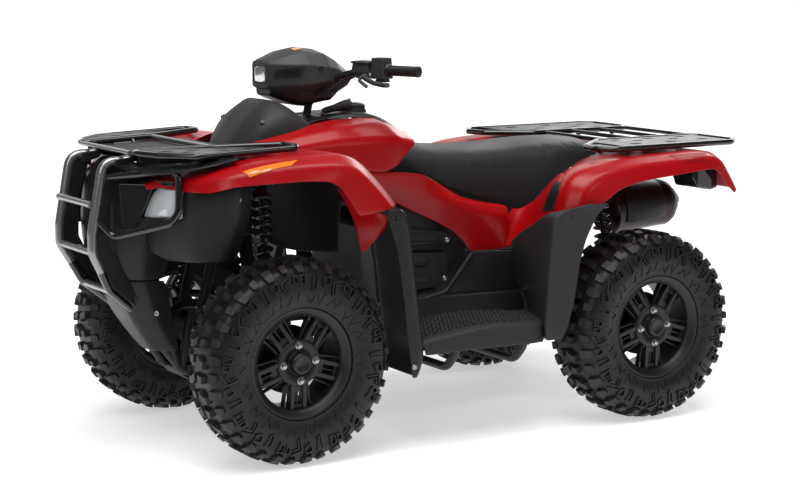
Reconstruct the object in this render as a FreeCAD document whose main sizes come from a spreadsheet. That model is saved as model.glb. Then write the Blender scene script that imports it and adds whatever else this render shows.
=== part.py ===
import FreeCAD, Part
import math
import os
from FreeCAD import Placement, Rotation, Vector

# A utility quad bike. X points forward, Y to its left, Z up, and the ground is Z = 0.
# The origin lies on the ground under the middle of the machine.

doc = FreeCAD.newDocument("quad_bike")
sheet = doc.addObject("Spreadsheet::Sheet", "sizes")

named_sizes = [
    # the driving sizes of the machine
    ("wheelbase", 1297),
    ("front_axle_forward", 632),
    ("body_half_width", 604),
    ("body_height", 1235),
    ("front_half_track", 446),
    ("rear_half_track", 488),
    # tyres and rims
    ("front_tyre_radius", 317),
    ("front_tyre_half_width", 101),
    ("rear_tyre_radius", 313),
    ("rear_tyre_half_width", 116),
    ("tread_depth", 17),
    ("lug_count", 18),
    ("lug_turn", 9.5),
    ("rim_flange_radius", 171),
    ("rim_barrel_radius", 152),
    ("rim_wall", 5),
    ("flange_wall", 6),
    ("front_rim_half_width", 80),
    ("rear_rim_half_width", 95),
    ("rim_face_inset", 22),
    ("spoke_depth", 26),
    ("spoke_blade_width", 13),
    ("spoke_blade_gap", 17),
    ("spoke_count", 5),
    ("hub_radius", 64),
    ("hub_depth", 42),
    ("hub_cap_radius", 31),
    ("hub_cap_rise", 24),
    ("nut_count", 4),
    ("nut_circle_radius", 50),
    ("nut_radius", 9),
    ("nut_rise", 14),
    ("spindle_radius", 15),
    ("spindle_clearance", 0.05),
    ("seat_gap", 0.3),
    # steering
    ("kingpin_inset", 66),
    ("kingpin_radius", 8),
    ("ball_joint_drop", 88),
    ("arm_eye_radius", 19),
    ("arm_eye_height", 30),
    ("steer_arm_reach", 86),
    ("tie_pin_radius", 6),
    ("tie_rod_radius", 8),
    ("tie_eye_radius", 15),
    ("tie_eye_height", 16),
    ("stem_radius", 13),
    ("stem_clearance", 0.05),
    ("stem_sleeve_radius", 24),
    ("stem_sleeve_length", 60),
    ("moving_gap", 6),
    # suspension
    ("arm_tube_radius", 13),
    ("pivot_tube_radius", 19),
    ("pivot_tube_length", 62),
    ("coil_radius", 33),
    ("coil_inner_radius", 24),
    ("coil_wraps", 7),
    ("shock_pin_radius", 9),
    ("shock_pin_length", 52),
    ("damper_radius", 14),
    ("damper_eye_radius", 17),
    ("half_shaft_radius", 14),
    ("boot_radius", 38),
    ("boot_length", 60),
    # frame and racks
    ("frame_tube_radius", 16),
    ("cross_tube_radius", 14),
    ("frame_bend", 60),
    ("guard_tube_radius", 15),
    ("guard_bend", 55),
    ("loop_tube_radius", 11),
    ("loop_bend", 34),
    ("rack_tube_radius", 10),
    ("rack_bend", 30),
    ("rack_plate_wall", 5),
    ("slat_radius", 7),
    ("bracket_wall", 6),
    # panels
    ("panel_wall", 4),
    ("mudguard_wall", 4.5),
    ("panel_gap", 3),
    # bars
    ("bar_radius", 11),
    ("bar_bend", 45),
    ("grip_radius", 17),
    ("grip_length", 118),
    # engine and drive
    ("engine_length", 400),
    ("engine_width", 330),
    ("engine_height", 408),
    ("engine_centre_forward", 20),
    ("engine_floor", 248),
    ("cover_radius", 78),
    ("cover_depth", 57),
    ("cover_step", 24),
    ("gearcase_radius", 78),
    ("gearcase_width", 104),
    ("muffler_radius", 82),
    ("muffler_length", 350),
    ("pipe_radius", 19),
    ("pipe_bend", 45),
    # lamps and small pieces
    ("lamp_rim_wall", 4),
    ("hitch_plate_wall", 8),
    ("hitch_hole_radius", 9.5),
    ("rack_hole_radius", 4.5),
    ("lever_radius", 5.5),
    ("lever_knob_radius", 15),
    ("cap_radius", 46),
    ("cap_rise", 24),
]

for row, (alias, value) in enumerate(named_sizes, start=1):
    sheet.set("A%d" % row, alias)
    sheet.set("B%d" % row, str(value))
    sheet.setAlias("B%d" % row, alias)
doc.recompute()


def size(alias):
    return float(getattr(sheet, alias))


wheelbase = size("wheelbase")
half_width = size("body_half_width")
height = size("body_height")
front_axle_x = size("front_axle_forward")
rear_axle_x = front_axle_x - wheelbase
front_track = size("front_half_track")
rear_track = size("rear_half_track")
front_radius = size("front_tyre_radius")
rear_radius = size("rear_tyre_radius")
wall = size("panel_wall")
guard_wall = size("mudguard_wall")
LEFT = Vector(0, 1, 0)
UP = Vector(0, 0, 1)
AHEAD = Vector(1, 0, 0)


def spot(share):
    """A point whose shares are of the wheelbase, the half width and the height."""
    return Vector(share[0] * wheelbase, share[1] * half_width, share[2] * height)


def spots(shares):
    return [spot(share) for share in shares]


def flip(point):
    return Vector(point.x, -point.y, point.z)


def flipped(points):
    return [flip(point) for point in points]


def mirrored(shape):
    return shape.mirror(Vector(0, 0, 0), LEFT)


def both(shape):
    """The piece and its mirror image, which don't touch."""
    return Part.Compound([shape, mirrored(shape)])


def rod(start, end, radius):
    run = end - start
    return Part.makeCylinder(radius, run.Length, start, run)


def upright_pin(centre, radius, length):
    return Part.makeCylinder(radius, length, centre - UP * (length / 2), UP)


def joined(shapes):
    result = shapes[0]
    if len(shapes) > 1:
        result = result.multiFuse(shapes[1:])
    return result.removeSplitter()


def largest(shape):
    return sorted(shape.Solids, key=lambda solid: solid.Volume)[-1]


def tube_path(points, bend):
    """Straight runs joined by tangent arcs, each as large as its runs allow."""
    edges = []
    here = points[0]
    last = len(points) - 1
    for number in range(1, last):
        corner = points[number]
        back = (points[number - 1] - corner)
        ahead = (points[number + 1] - corner)
        turn = math.pi - back.getAngle(ahead)
        room = min(back.Length, ahead.Length) * 0.48
        cut = min(bend * math.tan(turn / 2), room)
        back.normalize()
        ahead.normalize()
        start = corner + back * cut
        stop = corner + ahead * cut
        radius = cut / math.tan(turn / 2)
        middle = back + ahead
        middle.normalize()
        centre = corner + middle * (radius / math.cos(turn / 2))
        top = centre - middle * radius
        edges.append(Part.LineSegment(here, start).toShape())
        edges.append(Part.Arc(start, top, stop).toShape())
        here = stop
    edges.append(Part.LineSegment(here, points[last]).toShape())
    return Part.Wire(edges)


def tube(points, radius, bend):
    path = tube_path(points, bend)
    ring = Part.Wire([Part.makeCircle(radius, points[0], points[1] - points[0])])
    return path.makePipeShell([ring], True, False)


def tube_loop(points, radius, bend):
    """A closed tube, made of two open halves that meet at the middles of two sides."""
    first = (points[0] + points[-1]) * 0.5
    half = len(points) // 2
    second = (points[half - 1] + points[half]) * 0.5
    one = [first] + points[:half] + [second]
    two = [second] + points[half:] + [first]
    return joined([tube(one, radius, bend), tube(two, radius, bend)])


def offset_line(points, depth):
    """Moves a flat line sideways by depth, with mitred corners."""
    result = []
    last = len(points) - 1
    for number, (u, v) in enumerate(points):
        normals = []
        if number > 0:
            pu, pv = points[number - 1]
            run = math.hypot(u - pu, v - pv)
            normals.append(((pv - v) / run, (u - pu) / run))
        if number < last:
            nu, nv = points[number + 1]
            run = math.hypot(nu - u, nv - v)
            normals.append(((v - nv) / run, (nu - u) / run))
        mu = sum(n[0] for n in normals) / len(normals)
        mv = sum(n[1] for n in normals) / len(normals)
        scale = max(mu * mu + mv * mv, 0.35)
        result.append((u + mu / scale * depth, v + mv / scale * depth))
    return result


def section(origin, across, rise, line, depth):
    """A closed wire: an open line in the plane of two directions, made depth thick."""
    back = offset_line(line, depth)
    closed = list(line) + back[::-1]
    points = [origin + across * u + rise * v for u, v in closed]
    return Part.makePolygon(points + [points[0]])


def skin(wires, ruled=True):
    return Part.makeLoft(wires, True, ruled)


def x_skin(table, depth, ruled=True):
    """A sheet of depth through upright sections across the machine."""
    wires = []
    for x, line in table:
        flat = [(y * half_width, z * height) for y, z in line]
        wires.append(section(Vector(x * wheelbase, 0, 0), LEFT, UP, flat, depth))
    return skin(wires, ruled)


def y_skin(table, depth):
    """A sheet of depth through upright sections along the machine."""
    wires = []
    for y, line in table:
        flat = [(x * wheelbase, z * height) for x, z in line]
        wires.append(section(Vector(0, y * half_width, 0), AHEAD, UP, flat, depth))
    return skin(wires)


def crest_skin(table, depth):
    """A fender: each section leans from its lip up to its crest."""
    wires = []
    for crest_x, crest_z, lip_x, lip_z, line in table:
        crest = Vector(crest_x * wheelbase, 0, crest_z * height)
        lip = Vector(lip_x * wheelbase, 0, lip_z * height)
        lean = crest - lip
        reach = lean.Length
        lean.normalize()
        flat = [(y * half_width, part * reach) for y, part in line]
        wires.append(section(crest, LEFT, lean, flat, depth))
    return skin(wires)


def z_skin(table, depth):
    """A sheet of depth through level sections, one above the other."""
    wires = []
    for z, line in table:
        flat = [(x * wheelbase, y * half_width) for x, y in line]
        wires.append(section(Vector(0, 0, z * height), AHEAD, LEFT, flat, depth))
    return skin(wires)


def x_solid(table, ruled=True):
    """A closed body through upright sections, each given as its left half."""
    wires = []
    for x, line in table:
        half = [Vector(x * wheelbase, y * half_width, z * height) for y, z in line]
        whole = half + [flip(p) for p in reversed(half) if p.y > 0]
        wires.append(Part.makePolygon(whole + [whole[0]]))
    return skin(wires, ruled)


def z_solid(table):
    """A closed body through level sections."""
    wires = []
    for z, line in table:
        points = [Vector(x * wheelbase, y * half_width, z * height) for x, y in line]
        wires.append(Part.makePolygon(points + [points[0]]))
    return skin(wires)


def node(name, shape, place=None):
    piece = doc.addObject("Part::Feature", name)
    piece.Label = name
    piece.Shape = shape
    piece.Placement = place if place else Placement()
    return piece


nodes = []


def keep(piece):
    nodes.append(piece)
    return piece


# Wheels. A tyre is a turned ring with lugs patterned round it, and a rim is a hub, five
# spokes of two blades each and a barrel with its flanges.


def role_of(body, role):
    for feature in body.Origin.OriginFeatures:
        if feature.Role == role:
            return feature


def outline(body, name, loops):
    """A sketch in the plane of the wheel's axle, given as axle and radius pairs."""
    sketch = body.newObject("Sketcher::SketchObject", name)
    sketch.AttachmentSupport = [(role_of(body, "YZ_Plane"), "")]
    sketch.MapMode = "FlatFace"
    for loop in loops:
        for start, end in zip(loop, loop[1:] + loop[:1]):
            line = Part.LineSegment(Vector(start[0], start[1], 0), Vector(end[0], end[1], 0))
            sketch.addGeometry(line, False)
    return sketch


def turned(body, name, loops, turn=None):
    sketch = outline(body, name + "_outline", loops)
    piece = body.newObject("PartDesign::Revolution", name)
    piece.Profile = sketch
    piece.ReferenceAxis = (sketch, ["H_Axis"])
    piece.Angle = 360
    if turn:
        piece.setExpression("Angle", "sizes." + turn)
        piece.Midplane = True
    return piece


def round_the_axle(body, name, feature, count):
    pattern = body.newObject("PartDesign::PolarPattern", name)
    pattern.Originals = [feature]
    pattern.Axis = (role_of(body, "Y_Axis"), [""])
    pattern.Angle = 360
    pattern.setExpression("Occurrences", "sizes." + count)
    body.Tip = pattern
    return pattern


seat_gap = size("seat_gap")
tread = size("tread_depth")
barrel = size("rim_barrel_radius")
flange = size("rim_flange_radius")
rim_wall = size("rim_wall")
flange_wall = size("flange_wall")


def tyre_body(name, radius, half, rim_half):
    body = doc.addObject("PartDesign::Body", name)
    base = radius - tread
    bead = barrel + seat_gap
    inner = rim_half - flange_wall - seat_gap
    side = flange + seat_gap
    rise = base - side
    half_line = [
        (inner, bead), (inner, side), (half * 0.90, side + rise * 0.10),
        (half * 0.985, side + rise * 0.42), (half * 0.955, side + rise * 0.72),
        (half * 0.80, side + rise * 0.94), (half * 0.40, base),
    ]
    loop = half_line + [(-y, r) for y, r in reversed(half_line)]
    turned(body, name + "_carcass", [loop])
    lug_low = side + rise * 0.55
    for mark, sign in (("near", 1), ("far", -1)):
        shoulder = [
            (sign * half * 0.93, lug_low), (sign * half, lug_low + tread * 0.4),
            (sign * half * 0.97, base - tread * 0.2), (sign * half * 0.80, radius - tread * 0.12),
            (sign * half * 0.42, radius), (sign * half * 0.42, base - tread),
            (sign * half * 0.75, base - tread),
        ]
        lug = turned(body, name + "_shoulder_" + mark, [shoulder], "lug_turn")
        round_the_axle(body, name + "_shoulders_" + mark, lug, "lug_count")
    middle = [
        (half * 0.30, radius), (-half * 0.30, radius),
        (-half * 0.30, base - tread), (half * 0.30, base - tread),
    ]
    block = turned(body, name + "_middle", [middle], "lug_turn")
    round_the_axle(body, name + "_middles", block, "lug_count")
    return body


def rim_body(name, rim_half):
    body = doc.addObject("PartDesign::Body", name)
    face = rim_half - size("rim_face_inset")
    hub_back = face - size("hub_depth")
    hub = size("hub_radius")
    cap = size("hub_cap_radius")
    bore = size("spindle_radius") + size("spindle_clearance")
    bore_end = face - flange_wall
    hub_loop = [
        (hub_back, bore), (hub_back, hub), (face - flange_wall, hub),
        (face, hub - flange_wall), (face, cap + flange_wall), (face + size("hub_cap_rise"), cap),
        (face + size("hub_cap_rise"), 0), (bore_end, 0), (bore_end, bore),
    ]
    turned(body, name + "_hub", [hub_loop])
    blade_low = hub - flange_wall * 2
    blade_high = barrel - rim_wall + rim_wall * 0.5
    gap = size("spoke_blade_gap") / 2
    for mark, shift in (("one", gap), ("two", -gap - size("spoke_blade_width"))):
        blade = body.newObject("PartDesign::AdditiveBox", name + "_blade_" + mark)
        blade.setExpression("Length", "sizes.spoke_blade_width")
        blade.setExpression("Width", "sizes.spoke_depth")
        blade.Height = blade_high - blade_low
        blade.Placement = Placement(
            Vector(shift, face - flange_wall - size("spoke_depth"), blade_low), Rotation())
        round_the_axle(body, name + "_blades_" + mark, blade, "spoke_count")
    inner = barrel - rim_wall
    lip = rim_half
    barrel_loop = [
        (-lip, inner), (lip, inner), (lip, flange), (lip - flange_wall, flange),
        (lip - flange_wall, barrel), (-lip + flange_wall, barrel), (-lip + flange_wall, flange),
        (-lip, flange),
    ]
    turned(body, name + "_barrel", [barrel_loop])
    nut = body.newObject("PartDesign::AdditiveCylinder", name + "_nut")
    nut.setExpression("Radius", "sizes.nut_radius")
    nut.setExpression("Height", "sizes.nut_rise + sizes.flange_wall")
    nut.Placement = Placement(
        Vector(0, face - flange_wall, size("nut_circle_radius")), Rotation(AHEAD, -90))
    round_the_axle(body, name + "_nuts", nut, "nut_count")
    return body


front_tyre = tyre_body("tyre_front_left", front_radius, size("front_tyre_half_width"),
                       size("front_rim_half_width"))
rear_tyre = tyre_body("tyre_rear_left", rear_radius, size("rear_tyre_half_width"),
                      size("rear_rim_half_width"))
front_rim = rim_body("rim_front_left", size("front_rim_half_width"))
rear_rim = rim_body("rim_rear_left", size("rear_rim_half_width"))
doc.recompute()

front_wheel_centre = Vector(front_axle_x, front_track, front_radius)
rear_wheel_centre = Vector(rear_axle_x, rear_track, rear_radius)
half_turn = Rotation(UP, 180)
for body, centre in ((front_tyre, front_wheel_centre), (front_rim, front_wheel_centre),
                     (rear_tyre, rear_wheel_centre), (rear_rim, rear_wheel_centre)):
    body.Placement = Placement(centre, Rotation())
    keep(body)
    shape = body.Shape.copy()
    shape.Placement = Placement()
    twin = node(body.Label.replace("left", "right"), shape, Placement(flip(centre), half_turn))
    keep(twin)

# Front suspension and steering. The kingpin is upright, and the arms carry its two ends.

kingpin_y = front_track - size("kingpin_inset")
kingpin = Vector(front_axle_x, kingpin_y, front_radius)
drop = size("ball_joint_drop")
pin_radius = size("kingpin_radius")
running = size("spindle_clearance")
eye_radius = size("arm_eye_radius")
eye_height = size("arm_eye_height")
arm_radius = size("arm_tube_radius")
pivot_radius = size("pivot_tube_radius")
pivot_length = size("pivot_tube_length")
spindle_radius = size("spindle_radius")
moving_gap = size("moving_gap")
front_face = size("front_rim_half_width") - size("rim_face_inset")
rear_face = size("rear_rim_half_width") - size("rim_face_inset")

lower_pivot_shares = [
    (0.57209, 0.17434, 0.18543),
    (0.40247, 0.17434, 0.18543),
]
upper_pivot_shares = [
    (0.57209, 0.17103, 0.34008),
    (0.40247, 0.17103, 0.34008),
]


def eye_at(centre):
    ring = upright_pin(centre, eye_radius, eye_height)
    return ring


def bored(shape, centre, radius, length):
    return shape.cut(upright_pin(centre, radius, length))


shock_pin = size("shock_pin_radius")
shock_pin_length = size("shock_pin_length")
shock_seat_share = 0.32


def shock_cross(ball, pivots):
    """The short pin across a wishbone that carries the foot of a shock absorber."""
    legs = [ball + (pivot - ball) * shock_seat_share for pivot in pivots]
    return rod(legs[0], legs[1], shock_pin), (legs[0] + legs[1]) * 0.5


def wishbone(ball, pivots, extra):
    """Two tubes from a ball joint's eye to the two pivot tubes on the frame."""
    shapes = [eye_at(ball)] + extra
    for pivot in pivots:
        shapes.append(rod(ball, pivot, arm_radius))
        shapes.append(rod(pivot - AHEAD * (pivot_length / 2), pivot + AHEAD * (pivot_length / 2),
                          pivot_radius))
    return bored(joined(shapes), ball, pin_radius + running, eye_height * 2)


ball_low = kingpin - UP * drop
ball_high = kingpin + UP * drop
front_cross, front_shock_foot = shock_cross(ball_high, spots(upper_pivot_shares))
front_arms = [wishbone(ball_low, spots(lower_pivot_shares), []),
              wishbone(ball_high, spots(upper_pivot_shares), [front_cross])]
keep(node("front_arms", Part.Compound(front_arms + [mirrored(a) for a in front_arms])))


def knuckle_shape():
    eye_gap = eye_height / 2 + seat_gap
    top = ball_high - UP * eye_gap
    low = ball_low + UP * eye_gap
    pin_top = ball_high + UP * (eye_height / 2 + pin_radius)
    pin_low = ball_low - UP * (eye_height / 2 + pin_radius)
    hub_back = front_track + front_face - size("hub_depth")
    boss = Part.makeCylinder(eye_radius * 2, hub_back - seat_gap - kingpin_y + eye_radius,
                             kingpin - LEFT * eye_radius, LEFT)
    spindle_end = front_track + front_face - flange_wall - seat_gap * 2
    spindle = Part.makeCylinder(spindle_radius, spindle_end - kingpin_y + eye_radius * 0.5,
                                kingpin - LEFT * (eye_radius * 0.5), LEFT)
    pins = [rod(top - UP * pin_radius, pin_top, pin_radius), rod(low + UP * pin_radius, pin_low, pin_radius)]
    posts = [rod(low, top, eye_radius * 0.9)]
    arm_end = tie_pin
    tip = Vector(arm_end.x, arm_end.y, arm_end.z)
    root = Vector(kingpin.x, kingpin.y, arm_end.z)
    arm = rod(root, tip, size("tie_pin_radius") * 1.6)
    ear = upright_pin(tip, size("tie_eye_radius") * 0.9, size("tie_pin_radius") * 4)
    stud_top = tip + UP * (size("tie_eye_height") * 1.3 + size("tie_pin_radius") * 2)
    stud = rod(tip, stud_top, size("tie_pin_radius"))
    return joined([boss, spindle, arm, ear, stud] + pins + posts)


tie_pin = kingpin - AHEAD * size("steer_arm_reach") - LEFT * (eye_radius * 1.6) - UP * (drop * 0.35)
knuckle = knuckle_shape()
keep(node("knuckle_left", knuckle))
keep(node("knuckle_right", mirrored(knuckle)))

stem_line_shares = [
    (0.38551, 0, 0.23077),
    (0.23901, 0, 0.87854),
]
stem_low, stem_high = spots(stem_line_shares)
stem_dir = stem_high - stem_low
stem_dir.normalize()

tie_eye_height = size("tie_eye_height")
tie_level = tie_pin.z + size("tie_pin_radius") * 2 + seat_gap + tie_eye_height / 2
tie_outer = Vector(tie_pin.x, tie_pin.y, tie_level)
tie_inner_share = 0.137
tie_inner = Vector(stem_low.x - size("steer_arm_reach"), tie_pin.y * tie_inner_share, tie_level)


def tie_rod_shape():
    outer = upright_pin(tie_outer, size("tie_eye_radius"), tie_eye_height)
    inner = upright_pin(tie_inner, size("tie_eye_radius"), tie_eye_height)
    bar = rod(tie_inner, tie_outer, size("tie_rod_radius"))
    piece = joined([outer, inner, bar])
    piece = bored(piece, tie_outer, size("tie_pin_radius") + running, tie_eye_height * 2)
    return piece


tie_rod = tie_rod_shape()
keep(node("tie_rod_left", tie_rod))
keep(node("tie_rod_right", mirrored(tie_rod)))

# The steering stem turns in two sleeves on the frame, and its foot carries a plate that
# drives the tie rods.

stem_radius = size("stem_radius")
stem_sleeve = size("stem_sleeve_radius")
sleeve_length = size("stem_sleeve_length")
plate_share = 0.9
foot = stem_low
plate_top = foot + stem_dir * (size("bracket_wall") * 2)
stem_bar = rod(foot, stem_high, stem_radius)
stem_side = stem_dir.cross(LEFT)
stem_side.normalize()
if stem_side.x > 0:
    stem_side = stem_side * -1
plate_reach = size("steer_arm_reach") + size("tie_eye_radius")
plate = Part.makeBox(plate_reach, tie_pin.y * tie_inner_share * 2 + size("tie_eye_radius"),
                     size("bracket_wall") * 2)
plate.translate(Vector(0, -(tie_pin.y * tie_inner_share + size("tie_eye_radius") / 2), 0))
plate.Placement = Placement(foot, Rotation(stem_side, LEFT, stem_dir, "XZY")).multiply(plate.Placement)
steering_shaft = joined([stem_bar, plate])
keep(node("steering_shaft", steering_shaft))

sleeve_low_share = 0.12
sleeve_high_share = 0.60
stem_span = (stem_high - stem_low).Length
sleeve_spots = [stem_low + stem_dir * (stem_span * s) for s in (sleeve_low_share, sleeve_high_share)]


def stem_holes(shape):
    return shape.cut(rod(stem_low - stem_dir * stem_span, stem_high, stem_radius + size("stem_clearance")))



# Rear suspension: two wishbones a side with the wheel carrier between them.

rear_pin = Vector(rear_axle_x, rear_track - size("kingpin_inset"), rear_radius)
rear_lower_pivot_shares = [
    (-0.42791, 0.17434, 0.18543),
    (-0.59753, 0.17434, 0.18543),
]
rear_upper_pivot_shares = [
    (-0.42791, 0.17103, 0.3336),
    (-0.59753, 0.17103, 0.3336),
]

def plain_wishbone(ball, pivots):
    shapes = [eye_at(ball)]
    for pivot in pivots:
        shapes.append(rod(ball, pivot, arm_radius))
        shapes.append(rod(pivot - AHEAD * (pivot_length / 2), pivot + AHEAD * (pivot_length / 2),
                          pivot_radius))
    return shapes


rear_low = rear_pin - UP * drop
rear_high = rear_pin + UP * drop
rear_cross, rear_shock_foot = shock_cross(rear_high, spots(rear_upper_pivot_shares))
rear_hub_back = rear_track + rear_face - size("hub_depth")
rear_shapes = plain_wishbone(rear_low, spots(rear_lower_pivot_shares))
rear_shapes += plain_wishbone(rear_high, spots(rear_upper_pivot_shares))
rear_shapes.append(rear_cross)
rear_shapes.append(rod(rear_low, rear_high, eye_radius * 0.9))
rear_shapes.append(Part.makeCylinder(eye_radius * 2, rear_hub_back - seat_gap - rear_pin.y + eye_radius,
                                     rear_pin - LEFT * eye_radius, LEFT))
rear_shapes.append(Part.makeCylinder(spindle_radius,
                                     rear_track + rear_face - flange_wall - seat_gap * 2 - rear_pin.y
                                     + eye_radius * 0.5, rear_pin - LEFT * (eye_radius * 0.5), LEFT))
rear_arm = joined(rear_shapes)
keep(node("rear_arms", both(rear_arm)))


def shock(foot, head):
    """A damper with its coil spring, the coil made plain as a ribbed sleeve."""
    run = head - foot
    reach = run.Length
    coil = size("coil_radius")
    core = size("coil_inner_radius")
    wraps = int(round(size("coil_wraps")))
    start = size("damper_eye_radius") * 1.6
    span = reach - start * 2
    rib = span / wraps
    line = [(0, start * 0.5), (core * 0.6, start * 0.5), (core * 0.6, start), (coil, start)]
    for number in range(wraps):
        low = start + rib * number
        line += [(coil, low + rib * 0.5), (core, low + rib * 0.62), (core, low + rib * 0.88)]
        if number < wraps - 1:
            line.append((coil, low + rib))
    line += [(coil, reach - start), (coil, reach - start * 0.9), (core * 0.6, reach - start * 0.9),
             (core * 0.6, reach - start * 0.5), (0, reach - start * 0.5)]
    points = [Vector(r, 0, z) for r, z in line]
    face = Part.Face(Part.makePolygon(points + [points[0]]))
    body = face.revolve(Vector(0, 0, 0), UP, 360)
    body.Placement = Placement(foot, Rotation(UP, run))
    eye = size("damper_eye_radius")
    half = size("damper_radius")
    shapes = [body, rod(foot, head, half)]
    for end in (foot, head):
        shapes.append(rod(end - AHEAD * half, end + AHEAD * half, eye))
    shape = joined(shapes)
    for end in (foot, head):
        shape = shape.cut(rod(end - AHEAD * (half * 3), end + AHEAD * (half * 3), shock_pin + running))
    return shape


front_tower_shares = [
    (0.49345, 0.11921, 0.67692),
    (0.49345, 0.46854, 0.67692),
]
rear_tower_shares = [
    (-0.50501, 0.12583, 0.54089),
    (-0.50501, 0.43377, 0.59919),
]
front_head = spot(front_tower_shares[1])
rear_head = spot(rear_tower_shares[1])
shock_shapes = [shock(front_shock_foot, front_head), shock(rear_shock_foot, rear_head)]
keep(node("shocks", Part.Compound(shock_shapes + [mirrored(s) for s in shock_shapes])))

# Engine, drive cases and shafts.

engine = doc.addObject("Part::Box", "engine")
engine.Label = "engine"
engine.setExpression("Length", "sizes.engine_length")
engine.setExpression("Width", "sizes.engine_width")
engine.setExpression("Height", "sizes.engine_height")
engine.setExpression("Placement.Base.x", "sizes.engine_centre_forward - sizes.engine_length / 2")
engine.setExpression("Placement.Base.y", "-sizes.engine_width / 2")
engine.setExpression("Placement.Base.z", "sizes.engine_floor")
keep(engine)

engine_side = size("engine_width") / 2
cover_shares = [
    (-0.04009, 0, 0.4583),
    (0.05089, 0, 0.38866),
    (-0.06785, 0, 0.35628),
]
cover_radius_shares = (1.0, 0.62, 0.8)
cover_shapes = []
for share, part in zip(cover_shares, cover_radius_shares):
    centre = spot(share)
    radius = size("cover_radius") * part
    base = Vector(centre.x, engine_side + seat_gap, centre.z)
    wide = Part.makeCylinder(radius, size("cover_depth") - size("cover_step"), base, LEFT)
    cap = Part.makeCone(radius * 0.92, radius * 0.72, size("cover_step"),
                        base + LEFT * (size("cover_depth") - size("cover_step")), LEFT)
    cover_shapes += [wide, cap]
keep(node("engine_covers", both(joined(cover_shapes))))

case_radius = size("gearcase_radius")
case_width = size("gearcase_width")
front_case = Vector(front_axle_x, 0, front_radius)
rear_case = Vector(rear_axle_x, 0, rear_radius)
shaft_radius = size("half_shaft_radius")
prop_side_share = 0.5
prop = case_radius * prop_side_share
engine_nose = size("engine_centre_forward") + size("engine_length") / 2
engine_tail = size("engine_centre_forward") - size("engine_length") / 2
case_shapes = [
    joined([
        Part.makeCylinder(case_radius, case_width, front_case - LEFT * (case_width / 2), LEFT),
        rod(front_case - LEFT * prop + UP * (prop * 0.72),
            Vector(engine_nose + seat_gap, -prop, front_radius + prop * 0.72), shaft_radius * 0.85)]),
    joined([
        Part.makeCylinder(case_radius, case_width, rear_case - LEFT * (case_width / 2), LEFT),
        rod(rear_case, Vector(engine_tail - seat_gap, 0, rear_radius), shaft_radius)]),
]
keep(node("gearcases", Part.Compound(case_shapes)))


def half_shaft(case, out_y):
    boot = size("boot_radius")
    length = size("boot_length")
    start = case + LEFT * (case_width / 2 + seat_gap)
    end = Vector(case.x, out_y, case.z)
    shapes = [rod(start, end, shaft_radius),
              Part.makeCone(boot, boot * 0.5, length, start, LEFT),
              Part.makeCone(boot * 0.5, boot, length, end - LEFT * length, LEFT)]
    return joined(shapes)


front_shaft_end = kingpin_y - eye_radius * 3 - moving_gap
rear_shaft_end = rear_pin.y - eye_radius - seat_gap
shafts = [half_shaft(front_case, front_shaft_end), half_shaft(rear_case, rear_shaft_end)]
keep(node("half_shafts", Part.Compound(shafts + [mirrored(s) for s in shafts])))

# Exhaust: a pipe from the engine's head to an oval canister at the left of the tail.

pipe_shares = [
    (-0.1542, 0.16556, 0.45344),
    (-0.25443, 0.23179, 0.45344),
    (-0.40093, 0.28477, 0.45344),
]
muffler_shares = [
    (-0.55127, 0.29139, 0.51822),
    (-0.81727, 0.29139, 0.54413),
]
muffler_start, muffler_dir_end = spots(muffler_shares)
muffler_run = muffler_dir_end - muffler_start
muffler_run.normalize()
muffler_end = muffler_start + muffler_run * size("muffler_length")
can = size("muffler_radius")
exhaust_pipe = tube(spots(pipe_shares) + [muffler_start - muffler_run * (can * 0.35),
                                          muffler_start + muffler_run * can], size("pipe_radius"),
                    size("pipe_bend"))
canister = [
    Part.makeCone(can * 0.45, can * 0.92, can * 0.35, muffler_start, muffler_run),
    Part.makeCylinder(can, size("muffler_length") - can * 0.7, muffler_start + muffler_run * (can * 0.35),
                      muffler_run),
    Part.makeCone(can * 0.92, can * 0.62, can * 0.35, muffler_end - muffler_run * (can * 0.35), muffler_run),
    rod(muffler_end - muffler_run, muffler_end + muffler_run * (can * 0.3), can * 0.27),
]
exhaust = joined([exhaust_pipe] + canister)
keep(node("exhaust", exhaust))

# Skid plate under the rails.

skid_low, skid_high = spots([
    (-0.40093, -0.13907, 0.1668),
    (0.61681, 0.13907, 0.17004),
])
lower_rail_shares = [
    (0.77101, 0.07285, 0.42105),
    (0.72012, 0.07285, 0.32389),
    (0.62066, 0.11589, 0.18543),
    (-0.66307, 0.11589, 0.18543),
]
frame_radius = size("frame_tube_radius")
cross_radius = size("cross_tube_radius")
frame_bend = size("frame_bend")
skid_top = spot(lower_rail_shares[-1]).z - frame_radius - seat_gap
skid = Part.makeBox(skid_high.x - skid_low.x, skid_high.y - skid_low.y, wall,
                    Vector(skid_low.x, skid_low.y, skid_top - wall))
keep(node("skid_plate", skid))

# Front guard: two uprights with webs behind them, three cross tubes and a loop round each lamp.

guard_radius = size("guard_tube_radius")
loop_radius = size("loop_tube_radius")
guard_upright_shares = [
    (0.77718, 0.21523, 0.74251),
    (0.83423, 0.21523, 0.74251),
    (0.87201, 0.21523, 0.63968),
    (0.87201, 0.21523, 0.52632),
    (0.82344, 0.1755, 0.42267),
    (0.75944, 0.13245, 0.36599),
]
guard_cross_shares = [
    (0.87201, 0.21192, 0.63644),
    (0.8697, 0.21192, 0.51822),
    (0.81881, 0.16887, 0.41457),
]
guard_loop_shares = [
    (0.83577, 0.21192, 0.70121),
    (0.73631, 0.54967, 0.72713),
    (0.74634, 0.57119, 0.60891),
    (0.83115, 0.27815, 0.55709),
    (0.86199, 0.21854, 0.60081),
]
guard_web_shares = [
    (0.82961, 0.21523, 0.73279),
    (0.86816, 0.21523, 0.63968),
    (0.86816, 0.21523, 0.53036),
    (0.83269, 0.21523, 0.51822),
    (0.82652, 0.21523, 0.63158),
    (0.79722, 0.21523, 0.7247),
]
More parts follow.
